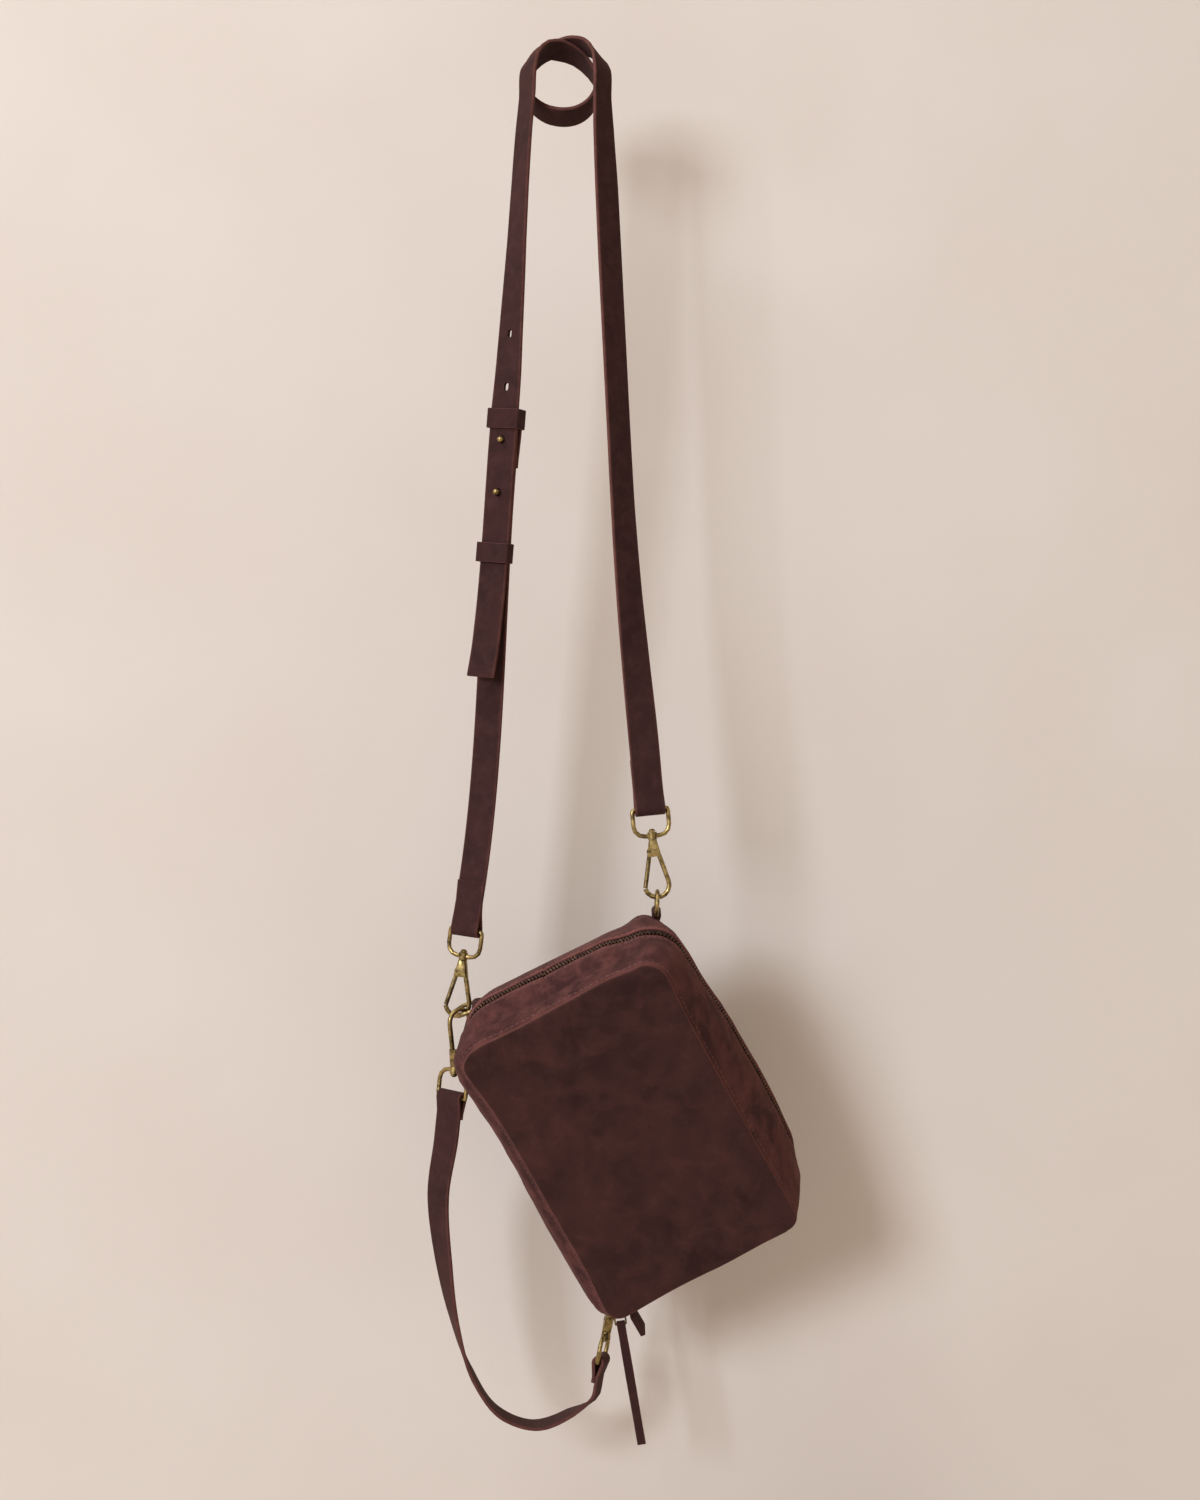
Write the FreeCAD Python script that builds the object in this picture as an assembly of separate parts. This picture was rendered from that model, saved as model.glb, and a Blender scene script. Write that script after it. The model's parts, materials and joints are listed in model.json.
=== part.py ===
import FreeCAD, Part
import math
import os

from FreeCAD import Placement, Rotation, Vector

# A small boxy suede bag on a long adjustable strap, shown hanging by the strap from a round peg.
# Origin: centre of the strap's wrap round the peg. +Z up, +X to the right, the wall is towards +Y.
# All lengths are millimetres.

# --- strap leather -------------------------------------------------------------------------
strap_width = 20.0
strap_thick = 2.4
layer_gap = 0.3
fold_length = 33.0
eye_play = 0.5
hole_pitch = 35.0
hole_width = 3.4
hole_height = 5.6

# --- wrap round the peg ---------------------------------------------------------------------
peg_radius = 16.5
peg_tilt = 18.0
wrap_shift = 10.9
splay_angle = 33.0

# --- left branch: short strap, studs and keepers --------------------------------------------
short_top = Vector(-38.0, -4.0, -224.0)
left_bar = Vector(-66.5, 13.0, -571.0)
left_turn = -25.0
stud_drop = 20.0
stud_ball = 4.7
stud_neck = 2.2
keeper_height = 13.0
keeper_thick = 1.8
slide_keeper_drop = 95.0
tail_drop = 178.0
tail_flare = 5.0

# --- right branch ---------------------------------------------------------------------------
right_bar = Vector(56.3, -8.0, -489.0)
right_turn = 8.0

# --- swivel clips ---------------------------------------------------------------------------
rod_sides = 12
turned_sides = 16
bend_chord = 3.2
ring_wire = 3.0
ring_reach = 18.0
ring_width = 24.0
boss_radius = 3.1
boss_height = 5.0
stem_radius = 1.2
head_radius = 2.2
hook_wire = 3.2
hook_reach = 40.9
hook_bend = 8.2
housing_length = 11.0
housing_top = 5.2
housing_foot = 9.6
housing_thick = 6.0
gate_wire = 3.0
pin_radius = 0.9
fit_gap = 0.3
seat_gap = 0.6

# --- D-rings and their tabs -----------------------------------------------------------------
d_wire = 2.8
d_bend = 7.5
d_side = 7.5
tab_length = 20.0
tab_width = 11.0
tab_thick = 1.6

# --- bag body -------------------------------------------------------------------------------
bag_width = 138.0
bag_height = 202.0
bag_depth = 80.0
bag_corner = 16.0
bag_crown = 6.0
corner_steps = 6
wall = 2.2
zip_line = 35.0
zip_window = 5.2
bag_top = Vector(0.2, 9.8, -594.3)
bag_roll = 27.5
bag_pitch = 17.0

# --- zip ------------------------------------------------------------------------------------
tape_thick = 0.8
tape_reach = 8.0
teeth_gap = 1.2
teeth_width = 1.9
teeth_rise = 1.9
slider_rest = 125.0
tail_end = slider_rest + 15.0
slider_length = 9.0
slider_wall = 1.0
pin_stand = 2.5
puller_length = 15.0
puller_thick = 1.3
pull_pin = 0.55
pull_bar = 1.5
pull_length = 84.0
pull_width = 5.8
pull_thick = 2.2

# --- lining and pocket ----------------------------------------------------------------------
lining_thick = 0.7
pocket_width = 104.0
pocket_height = 96.0

# --- wrist strap ----------------------------------------------------------------------------
wrist_fold = 14.0

os.makedirs("parts", exist_ok=True)
built = {}


def save(name, shape):
    built[name] = shape
    shape.exportStep("parts/" + name + ".step")


def placed(shape, place):
    """Copy of a shape moved by a placement, on top of the one it has."""
    moved = shape.copy()
    moved.Placement = place.multiply(moved.Placement)
    return moved


def frame_at(origin, z_axis, x_hint):
    """Placement whose local z runs along z_axis and whose local x is as near x_hint as it can be."""
    z = Vector(z_axis).normalize()
    x = Vector(x_hint)
    x = (x - z * x.dot(z)).normalize()
    y = z.cross(x)
    return Placement(Vector(origin), Rotation(x, y, z, "ZXY"))


def unit(x, y, z):
    return Vector(x, y, z).normalize()


def heading(turn):
    """Outward normal of a hanging strap, turned about the vertical from the viewer's side."""
    a = math.radians(turn)
    return Vector(math.sin(a), -math.cos(a), 0.0)


def skin(sections, closed):
    """Solid with flat faces between the neighbouring sides of the sections, folded where they twist."""
    faces = []
    following = sections[1:] + sections[:1] if closed else sections[1:]
    for a, b in zip(sections, following):
        for i in range(len(a)):
            quad = [a[i - 1], a[i], b[i], b[i - 1]]
            lean = (quad[1] - quad[0]).cross(quad[2] - quad[0]).normalize().dot(quad[3] - quad[0])
            rims = [quad] if abs(lean) < 1e-6 else [quad[:3], [quad[2], quad[3], quad[0]]]
            faces += [Part.Face(Part.makePolygon(rim + rim[:1])) for rim in rims]
    if not closed:
        faces += [Part.Face(Part.makePolygon(end + end[:1])) for end in (sections[0], sections[-1])]
    joined = Part.makeCompound(faces)
    joined.sewShape()
    solid = Part.makeSolid(joined.Shells[0])
    if solid.Volume < 0:
        solid.reverse()
    return solid


# --- leather ribbons --------------------------------------------------------------------------
def section(centre, along, normal, width, thick):
    along = Vector(along).normalize()
    face = Vector(normal)
    face = (face - along * face.dot(along)).normalize()
    side = along.cross(face)
    return [
        centre + side * (sx * width / 2) + face * (sy * thick / 2)
        for sx, sy in ((-1, -1), (1, -1), (1, 1), (-1, 1))
    ]


def ribbon(stations, width, thick):
    """Flat strap through (centre, normal) stations; tangents come from a curve through the centres."""
    centres = [s[0] for s in stations]
    curve = Part.BSplineCurve()
    curve.interpolate(centres)
    sections = []
    for centre, normal in stations:
        along = curve.tangent(curve.parameter(centre))[0]
        sections.append(section(centre, along, normal, width, thick))
    return skin(sections, False)


def blend(a, b, t):
    t = max(0.0, min(1.0, t))
    return a + (b - a) * (3 * t * t - 2 * t ** 3)


def table(points, x):
    """Smooth value between (x, value) pairs."""
    for (x0, v0), (x1, v1) in zip(points, points[1:]):
        if x <= x1:
            return blend(v0, v1, (x - x0) / (x1 - x0))
    return points[-1][1]


def tangent_angle(x, z, radius):
    """Angle on a circle about the origin where the line to (x, z) leaves it, on the +x side."""
    return math.atan2(z, x) - math.acos(radius / math.hypot(x, z))


def eye_profile(bar_radius, thick, back_top, front_top):
    """Side outline (local YZ) of leather folded round a bar: front layer at +y, back layer at -y."""
    inner = bar_radius + 0.15
    outer = inner + thick
    meet = 2.2 * outer
    a = tangent_angle(thick, meet, outer)
    right = Vector(0, outer * math.cos(a), outer * math.sin(a))
    left = Vector(0, -right.y, right.z)
    rim = [
        Part.makeLine(Vector(0, thick, front_top), Vector(0, thick, meet)),
        Part.makeLine(Vector(0, thick, meet), right),
        Part.Arc(right, Vector(0, 0, -outer), left).toShape(),
        Part.makeLine(left, Vector(0, -thick, meet)),
        Part.makeLine(Vector(0, -thick, meet), Vector(0, -thick, back_top)),
    ]
    if back_top < front_top:
        rim.append(Part.makeLine(Vector(0, -thick, back_top), Vector(0, 0, back_top)))
        rim.append(Part.makeLine(Vector(0, 0, back_top), Vector(0, 0, front_top)))
        rim.append(Part.makeLine(Vector(0, 0, front_top), Vector(0, thick, front_top)))
    else:
        rim.append(Part.makeLine(Vector(0, -thick, back_top), Vector(0, thick, front_top)))
    apex = Vector(0, 0, meet * 0.62)
    b = tangent_angle(0.0, apex.z, inner)
    low_right = Vector(0, inner * math.cos(b), inner * math.sin(b))
    low_left = Vector(0, -low_right.y, low_right.z)
    hole = [
        Part.makeLine(apex, low_right),
        Part.Arc(low_right, Vector(0, 0, -inner), low_left).toShape(),
        Part.makeLine(low_left, apex),
    ]
    return Part.Wire(rim), Part.Wire(hole)


def folded_end(bar_radius, thick, width, back_top, front_top):
    rim, hole = eye_profile(bar_radius, thick, back_top, front_top)
    across = Vector(width, 0, 0)
    solid = Part.Face(rim).extrude(across).cut(Part.Face(hole).extrude(across))
    return placed(solid, Placement(Vector(-width / 2, 0, 0), Rotation()))


def slot_cutter(width, height, depth):
    """Upright slot with round ends in local XZ, cut along local Y both ways."""
    r = width / 2
    h = height / 2 - r
    edges = [
        Part.makeLine(Vector(-r, -depth, -h), Vector(-r, -depth, h)),
        Part.Arc(Vector(-r, -depth, h), Vector(0, -depth, h + r), Vector(r, -depth, h)).toShape(),
        Part.makeLine(Vector(r, -depth, h), Vector(r, -depth, -h)),
        Part.Arc(Vector(r, -depth, -h), Vector(0, -depth, -h - r), Vector(-r, -depth, -h)).toShape(),
    ]
    return Part.Face(Part.Wire(edges)).extrude(Vector(0, 2 * depth, 0))


def strap_frame(point, up, normal):
    """Local z up the strap, local y out of its face."""
    z = Vector(up).normalize()
    y = Vector(normal)
    y = (y - z * y.dot(z)).normalize()
    return Placement(Vector(point), Rotation(y.cross(z), y, z, "ZXY"))


# --- strap route ------------------------------------------------------------------------------
left_down = (left_bar - short_top).normalize()
left_normal = heading(left_turn)
left_face = (left_normal - left_down * left_normal.dot(left_down)).normalize()
short_length = (left_bar - short_top).Length
stud_marks = [stud_drop, stud_drop + hole_pitch]
front_offset = strap_thick * 1.5 + layer_gap


def wrap_stations():
    tilt = math.radians(peg_tilt)
    tip = Vector(0, -math.cos(tilt), math.sin(tilt))
    up = Vector(0, math.sin(tilt), math.cos(tilt))
    seated = peg_radius + strap_thick / 2 + layer_gap
    slack = [(0, 5.6), (45, 1.6), (90, 0.0), (135, 1.0), (180, 3.5), (270, 7.0), (315, 8.0),
             (360, 10.5), (405, 8.5), (450, 3.6), (495, 4.2), (540, 6.5)]
    cone = [(0, splay_angle), (50, 10.0), (90, 0.0), (450, 0.0), (490, 10.0), (540, splay_angle)]
    stations = []
    turn = 0.0
    while turn <= 540.0:
        if turn < 180:
            shift = wrap_shift * math.cos(math.radians(turn))
        elif turn <= 360:
            shift = -wrap_shift
        else:
            shift = -wrap_shift * math.cos(math.radians(turn - 360))
        theta = math.radians(180.0 - turn)
        out = Vector(math.cos(theta), 0, 0) + up * math.sin(theta)
        k = math.radians(table(cone, turn))
        r = seated + table(slack, turn)
        stations.append((out * r + tip * shift, out * math.cos(k) + tip * math.sin(k)))
        turn += 15.0
    return stations


def left_point(drop, offset):
    return short_top + left_down * drop + left_face * offset


def long_strap():
    stations = []
    for drop, flare in ((tail_drop, tail_flare), (160.0, 1.6), (142.0, 0.0), (20.0, 0.0), (0.0, 0.0)):
        stations.append((left_point(drop, front_offset + flare), left_face))
    for x, y, z, turn in ((-37.6, -7.6, -200.0, -32), (-36.0, -8.3, -176.0, -39), (-33.9, -9.2, -145.0, -46),
                          (-31.8, -10.2, -112.0, -53), (-29.6, -11.0, -76.0, -57), (-26.9, -11.6, -38.0, -59),
                          (-24.9, -11.4, -17.0, -60)):
        stations.append((Vector(x, y, z), heading(turn)))
    stations += wrap_stations()
    for x, y, z, turn in ((24.9, -11.5, -17.0, 58), (25.7, -11.7, -38.0, 52), (27.7, -11.0, -77.0, 45),
                          (30.0, -9.8, -125.0, 43), (32.8, -8.3, -180.0, 43), (35.6, -6.8, -235.0, 43),
                          (38.6, -6.6, -290.0, 41), (42.6, -6.8, -345.0, 34), (47.6, -7.4, -398.0, 22)):
        stations.append((Vector(x, y, z), heading(turn)))
    right_up = unit(-0.094, 0.0, 0.9956)
    end = strap_frame(right_bar, right_up, heading(right_turn))
    join = fold_length + 4.0
    end_normal = end.Rotation.multVec(Vector(0, 1, 0))
    stations.append((end.multVec(Vector(0, strap_thick / 2, join + 10.0)), end_normal))
    stations.append((end.multVec(Vector(0, strap_thick / 2, join - 1.0)), end_normal))
    strap = ribbon(stations, strap_width, strap_thick)
    foot = folded_end(ring_wire / 2 + eye_play, strap_thick, strap_width, fold_length, join)
    strap = strap.fuse(placed(foot, end))
    route = Part.BSplineCurve()
    route.interpolate([s[0] for s in stations])
    marks = [(left_point(d, front_offset), left_down * -1, left_face) for d in stud_marks]
    for count in (1, 2):
        guess = left_point(stud_drop - hole_pitch * count, front_offset)
        at = route.parameter(guess)
        along = route.tangent(at)[0]
        turn = -32.0 if count == 1 else -41.0
        marks.append((route.value(at), along, heading(turn)))
    cutter = slot_cutter(hole_width, hole_height, 3 * strap_thick)
    for point, up, normal in marks:
        strap = strap.cut(placed(cutter, strap_frame(point, up, normal)))
    return strap


def short_strap():
    """Straight strap: eye at the foot, single layer, and its top end folded down behind."""
    strap = folded_end(ring_wire / 2 + eye_play, strap_thick, strap_width, fold_length, short_length)
    back = Part.makeBox(strap_width, strap_thick, fold_length + 5.0,
                        Vector(-strap_width / 2, -strap_thick, short_length - fold_length - 5.0))
    strap = placed(strap.fuse(back).removeSplitter(), strap_frame(left_bar, left_down * -1, left_normal))
    for mark in stud_marks:
        tool = Part.makeCylinder(stud_neck / 2 + 0.05, 4 * strap_thick,
                                 left_point(mark, -2 * strap_thick), left_face)
        strap = strap.cut(tool)
    return strap


def turned(profile):
    """Round solid about local z with flat-sided sections; profile is (radius, height) pairs."""
    turns = [2 * math.pi * i / turned_sides for i in range(turned_sides)]
    return skin([[Vector(r * math.cos(a), r * math.sin(a), z) for a in turns] for r, z in profile], False)


def stud(mark, behind):
    """Turned stud: rivet disc behind the strap, neck through both layers, ball in front."""
    neck = stud_neck / 2
    ball = stud_ball / 2
    top = 2 * strap_thick + layer_gap + ball - 0.2
    profile = [(3.2, -behind - 0.8), (3.2, -behind), (neck, -behind), (neck, top - 0.88 * ball),
               (0.85 * ball, top - 0.53 * ball), (ball, top), (0.75 * ball, top + 0.66 * ball),
               (0.3 * ball, top + 0.95 * ball)]
    return placed(turned(profile), Placement(left_point(mark, 0.0), Rotation(Vector(0, 0, 1), left_face)))


def keeper(low, high, clearance, drop):
    """Leather loop round the straps: low and high are the layers' faces along the outward normal."""
    inner = Part.makeBox(strap_width + 2 * clearance, high - low + 2 * clearance, keeper_height + 2,
                         Vector(-strap_width / 2 - clearance, low - clearance, -keeper_height / 2 - 1))
    t = keeper_thick
    outer = Part.makeBox(strap_width + 2 * (clearance + t), high - low + 2 * (clearance + t), keeper_height,
                         Vector(-strap_width / 2 - clearance - t, low - clearance - t, -keeper_height / 2))
    outer = outer.makeFillet(1.5, [e for e in outer.Edges if abs(e.tangentAt(e.FirstParameter).z) > 0.9])
    return placed(outer.cut(inner), strap_frame(short_top + left_down * drop, left_down * -1, left_normal))


# short_top lies on the bar's axis plane, so the short strap's own front face is strap_thick in front of it
save("strap_long", long_strap())
save("strap_short", short_strap())
save("strap_studs", Part.makeCompound([stud(stud_marks[0], strap_thick), stud(stud_marks[1], 0.0)]))
save("fixed_keeper", keeper(-strap_thick, 2 * strap_thick + layer_gap, 0.2, keeper_height / 2 - 0.5))
save("sliding_keeper", keeper(0.0, 2 * strap_thick + layer_gap, 0.3, slide_keeper_drop))


# --- swivel clips -----------------------------------------------------------------------------
def rod_section(edge, at, dia):
    centre = edge.valueAt(at)
    side = edge.tangentAt(at).cross(Vector(0, 1, 0))
    points = []
    for i in range(rod_sides):
        a = 2 * math.pi * (i + 0.5) / rod_sides
        points.append(centre + (side * math.cos(a) + Vector(0, 1, 0) * math.sin(a)) * (dia / 2))
    return points


def wire_rod(edges, dia, closed):
    """Wire along connected straight and curved edges in the local XZ plane, drawn with flat-sided sections."""
    sections = []
    for edge in edges:
        first, last = edge.FirstParameter, edge.LastParameter
        straight = isinstance(edge.Curve, Part.Line)
        count = 1 if straight else max(2, round(edge.Length / bend_chord))
        sections += [rod_section(edge, first + (last - first) * i / count, dia) for i in range(count)]
    if not closed:
        sections.append(rod_section(edges[-1], edges[-1].LastParameter, dia))
    return skin(sections, closed)


def arc(centre, radius, start, end):
    """Arc in the local XZ plane, angles in degrees from +x towards +z."""
    at = [math.radians(start + (end - start) * f) for f in (0.0, 0.5, 1.0)]
    pts = [centre + Vector(math.cos(a), 0, math.sin(a)) * radius for a in at]
    return Part.Arc(*pts).toShape()


def clip_ring():
    half = ring_width / 2
    low = 7.0
    top = 1.7
    edges = [
        Part.makeLine(Vector(-half + low, 0, 0), Vector(half - low, 0, 0)),
        arc(Vector(half - low, 0, low), low, -90, 0),
        Part.makeLine(Vector(half, 0, low), Vector(half, 0, ring_reach - top)),
        arc(Vector(half - top, 0, ring_reach - top), top, 0, 90),
        Part.makeLine(Vector(half - top, 0, ring_reach), Vector(-half + top, 0, ring_reach)),
        arc(Vector(-half + top, 0, ring_reach - top), top, 90, 180),
        Part.makeLine(Vector(-half, 0, ring_reach - top), Vector(-half, 0, low)),
        arc(Vector(-half + low, 0, low), low, 180, 270),
    ]
    ring = wire_rod(edges, ring_wire, True)
    boss = Part.makeCylinder(boss_radius, boss_height, Vector(0, 0, -boss_height / 2))
    bore = Part.makeCylinder(stem_radius + fit_gap, boss_height + 2, Vector(0, 0, -boss_height / 2 - 1))
    return ring.fuse(boss).cut(bore)


housing_face = -boss_height / 2 - fit_gap
pivot = Vector(-2.6, 0, housing_face - 7.5)
slot_roof = pivot.z + 3.5
bend_centre = Vector(0, 0, -(hook_reach - hook_bend))
gate_rest = math.radians(195.0)
gate_tip = bend_centre + Vector(math.cos(gate_rest), 0, math.sin(gate_rest)) * hook_bend


def clip_hook():
    """Stem and rivet head, slotted wedge housing, fixed arm and the bend that carries the load."""
    top = housing_face
    foot = top - housing_length
    outline = [Vector(-housing_top / 2, 0, top), Vector(housing_top / 2, 0, top),
               Vector(housing_foot / 2, 0, foot), Vector(-housing_foot / 2, 0, foot)]
    wedge = Part.Face(Part.makePolygon(outline + [outline[0]])).extrude(Vector(0, housing_thick, 0))
    wedge.translate(Vector(0, -housing_thick / 2, 0))
    wedge = wedge.makeChamfer(1.0, [e for e in wedge.Edges if abs(e.tangentAt(e.FirstParameter).y) < 0.1
                                    and abs(e.tangentAt(e.FirstParameter).x) < 0.5])
    stem = Part.makeCylinder(stem_radius, boss_height + 2 * fit_gap + 1.0, Vector(0, 0, top - 0.5))
    seat = boss_height / 2 + fit_gap
    head = turned([(head_radius, seat), (head_radius, seat + 0.9), (0.55 * head_radius, seat + 1.8)])
    root = Vector(housing_foot / 2 - hook_wire / 2, 0, foot + 1.0)
    rel = root - bend_centre
    a = math.degrees(tangent_angle(rel.x, rel.z, hook_bend))
    lead = bend_centre + Vector(math.cos(math.radians(a)), 0, math.sin(math.radians(a))) * hook_bend
    arm = wire_rod([Part.makeLine(root, lead), arc(bend_centre, hook_bend, a, 195.0 - 360.0)],
                   hook_wire, False)
    slot = Part.makeBox(6.6, 2.8, slot_roof - foot + 1.0, Vector(-6.0, -1.4, foot - 1.0))
    bore = Part.makeCylinder(pin_radius + 0.05, housing_thick + 2, pivot - Vector(0, housing_thick / 2 + 1, 0),
                             Vector(0, 1, 0))
    return wedge.fuse(arm).cut(slot).fuse(stem).fuse(head).cut(bore)


def clip_gate():
    """Sprung arm: flat eye on the pin, then a round rod to the tip of the bend."""
    reach = gate_tip - pivot
    along = Vector(reach).normalize()
    tip = gate_tip - along * (fit_gap + 0.35)
    start = pivot + along * 5.2
    rod = wire_rod([Part.makeLine(start, tip)], gate_wire, False)
    eye = Part.makeCylinder(2.1, 2.2, pivot - Vector(0, 1.1, 0), Vector(0, 1, 0))
    side = Vector(along.z, 0, -along.x)
    neck = [pivot + side * 1.4, pivot - side * 1.4, start - side * 1.4 + along * 0.8,
            start + side * 1.4 + along * 0.8]
    plate = Part.Face(Part.makePolygon(neck + [neck[0]])).extrude(Vector(0, 2.2, 0))
    plate.translate(Vector(0, -1.1, 0))
    bore = Part.makeCylinder(pin_radius + fit_gap, 4.0, pivot - Vector(0, 2.0, 0), Vector(0, 1, 0))
    return rod.fuse(plate).fuse(eye).cut(bore)


def clip_pin():
    return Part.makeCylinder(pin_radius, housing_thick + 0.4, pivot - Vector(0, housing_thick / 2 + 0.2, 0),
                             Vector(0, 1, 0))


def clip_spring():
    """Leaf spring: one leg against the slot's inner wall, one under its roof."""
    inner = 0.6
    roof = slot_roof
    leg = Part.makeBox(0.35, 1.8, 5.2, Vector(inner - 0.35, -0.9, roof - 5.2))
    cap = Part.makeBox(2.6, 1.8, 0.35, Vector(inner - 2.6, -0.9, roof - 0.35))
    return leg.fuse(cap).removeSplitter()


def clip_set(name, bar, down, ring_face, hook_face):
    """One clip: the ring's far bar at 'bar', the hook hanging along 'down' from the swivel."""
    swivel = bar + down * ring_reach
    up = down * -1
    ring_at = frame_at(swivel, up, ring_face)
    hook_at = frame_at(swivel, up, hook_face)
    for part_name, shape, place in (("ring", clip_ring(), ring_at), ("hook", clip_hook(), hook_at),
                                    ("gate", clip_gate(), hook_at), ("pin", clip_pin(), hook_at),
                                    ("spring", clip_spring(), hook_at)):
        save(name + "_" + part_name, placed(shape, place))
    seat = hook_reach - hook_wire / 2 - d_wire / 2 - seat_gap
    info = {"swivel": swivel, "axis": down, "contact": swivel + down * seat,
            "gate_pivot": hook_at.multVec(pivot), "gate_axis": hook_at.Rotation.multVec(Vector(0, 1, 0))}
    clips[name] = info
    return info


clips = {}

right_clip = clip_set("right_clip", right_bar, unit(0.094, 0.0, -0.9956), Vector(1, 0.14, 0), Vector(1, 0, 0))
left_clip = clip_set("left_clip", left_bar, unit(-0.125, 0.06, -0.99), left_face.cross(left_down),
                     Vector(0.94, -0.15, 0))


# --- bag body frame ---------------------------------------------------------------------------
# bag_top is the middle of the upper edge on the back face, so a taller bag grows downwards.
bag_turn = Rotation(Vector(1, 0, 0), bag_pitch) * Rotation(Vector(0, 1, 0), -bag_roll)
bag_centre = bag_top - bag_turn.multVec(Vector(0, 0, bag_height / 2))
bag_place = Placement(bag_centre, bag_turn)


def bag_vec(x, y, z):
    return bag_place.Rotation.multVec(Vector(x, y, z))


def bag_save(name, shape):
    """Local bag frame: x across, y towards the wall with the back face at 0, z up the long side."""
    save(name, placed(shape, bag_place))


def crown(y):
    """Outward swell of the gusset between the two panels."""
    k = (-y - panel_thick) / (bag_depth - 2 * panel_thick)
    return bag_crown * (1.0 - (2.0 * k - 1.0) ** 2)


def plate(y_back, y_front, inset):
    """Flat plate of the bag's rounded outline between two depths; y_back is nearer the wall."""
    r = bag_corner - inset
    w = bag_width / 2 - bag_corner
    h = bag_height / 2 - bag_corner
    edges = []
    for cx, cz, start in ((w, h, 0), (-w, h, 90), (-w, -h, 180), (w, -h, 270)):
        corner = arc(Vector(cx, y_back, cz), r, start, start + 90)
        if edges:
            edges.append(Part.makeLine(edges[-1].valueAt(edges[-1].LastParameter),
                                       corner.valueAt(corner.FirstParameter)))
        edges.append(corner)
    edges.append(Part.makeLine(edges[-1].valueAt(edges[-1].LastParameter),
                               edges[0].valueAt(edges[0].FirstParameter)))
    return Part.Face(Part.Wire(edges)).extrude(Vector(0, y_front - y_back, 0))


def band(y_back, y_front, outer, inner):
    """Closed strip round the bag between two depths and two insets from the gusset's outer face."""
    steps = max(1, round((y_back - y_front) / 11.0))
    depths = [y_back + (y_front - y_back) * i / steps for i in range(steps + 1)]
    profile = [(bag_corner + crown(y) - outer, y) for y in depths]
    profile += [(bag_corner + crown(y) - inner, y) for y in reversed(depths)]
    w = bag_width / 2 - bag_corner
    h = bag_height / 2 - bag_corner
    sections = []
    for cx, cz, start in ((w, h, 0), (-w, h, 90), (-w, -h, 180), (w, -h, 270)):
        for i in range(corner_steps + 1):
            a = math.radians(start + 90.0 * i / corner_steps)
            sections.append([Vector(cx + r * math.cos(a), y, cz + r * math.sin(a)) for r, y in profile])
    return skin(sections, True)


panel_thick = wall
zip_low = -(bag_height / 2 - bag_corner)
span = 2 * bag_height


def above(shape, z):
    return shape.cut(Part.makeBox(span, span, span, Vector(-span / 2, -span / 2, z - span)))


def below(shape, z):
    return shape.cut(Part.makeBox(span, span, span, Vector(-span / 2, -span / 2, z)))


zip_back = -(zip_line - zip_window)
zip_front = -(zip_line + zip_window)
base_cut = zip_low - 15.0
back_gusset_part = band(-panel_thick, zip_back, 0.0, wall)
front_gusset_part = band(zip_front, -(bag_depth - panel_thick), 0.0, wall)
back_panel_part = plate(0.0, -panel_thick, 0.0)
bag_save("back_panel", back_panel_part)
bag_save("back_gusset", back_gusset_part)
bag_save("front_panel", plate(-(bag_depth - panel_thick), -bag_depth, 0.0))
bag_save("front_gusset", front_gusset_part)
fold_strip = below(band(zip_back, zip_front + fit_gap, 0.0, wall), base_cut)
bag_save("base_fold", fold_strip)

# Zip: tapes sewn under the gusset edges, a raised row of teeth on each, and the tail past the corner.
tape_inset = wall + fit_gap
tape_foot = tape_inset + tape_thick
teeth_inset = tape_inset - teeth_rise
half_gap = teeth_gap / 2
back_tape = above(band(-(zip_line - tape_reach), -(zip_line - half_gap), tape_inset, tape_foot), zip_low)
front_tape = above(band(-(zip_line + half_gap), -(zip_line + tape_reach), tape_inset, tape_foot), zip_low)
back_teeth = above(band(-(zip_line - half_gap - teeth_width), -(zip_line - half_gap), teeth_inset, tape_inset),
                   zip_low)
front_teeth = above(band(-(zip_line + half_gap), -(zip_line + half_gap + teeth_width), teeth_inset, tape_inset),
                    zip_low)
zip_face = bag_width / 2 + crown(-zip_line)
tail_half = zip_window - 0.4
tail_top = zip_low - fit_gap
joined = tail_end - 9.0
tail = Part.makeBox(tape_thick, 2 * tail_half, tail_end + tail_top,
                    Vector(-zip_face + tape_inset, -zip_line - tail_half, -tail_end))
tail = tail.cut(Part.makeBox(2.0, teeth_gap, joined + tail_top + 1.0,
                             Vector(-zip_face + tape_inset - 0.5, -zip_line - half_gap, -joined)))
tail_teeth = [
    Part.makeBox(teeth_rise, teeth_width, joined + tail_top - 1.0,
                 Vector(-zip_face + teeth_inset, y, -joined + 1.0))
    for y in (-zip_line - half_gap - teeth_width, -zip_line + half_gap)
]
end_tab = Part.makeBox(3.4, 15.0, 17.0, Vector(-zip_face + tape_inset + tape_thick / 2 - 1.7,
                                               -zip_line - 7.5, -tail_end - 12.0))
end_tab = end_tab.makeFillet(1.2, [e for e in end_tab.Edges if abs(e.tangentAt(e.FirstParameter).x) > 0.9])
bag_save("zip_tape_back", back_tape)
bag_save("zip_tape_front", front_tape)
bag_save("zip_teeth_back", back_teeth)
bag_save("zip_teeth_front", front_teeth)
bag_save("zip_tail", tail)
bag_save("zip_tail_teeth", Part.makeCompound(tail_teeth))
bag_save("zip_end_tab", end_tab.cut(tail))


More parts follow.
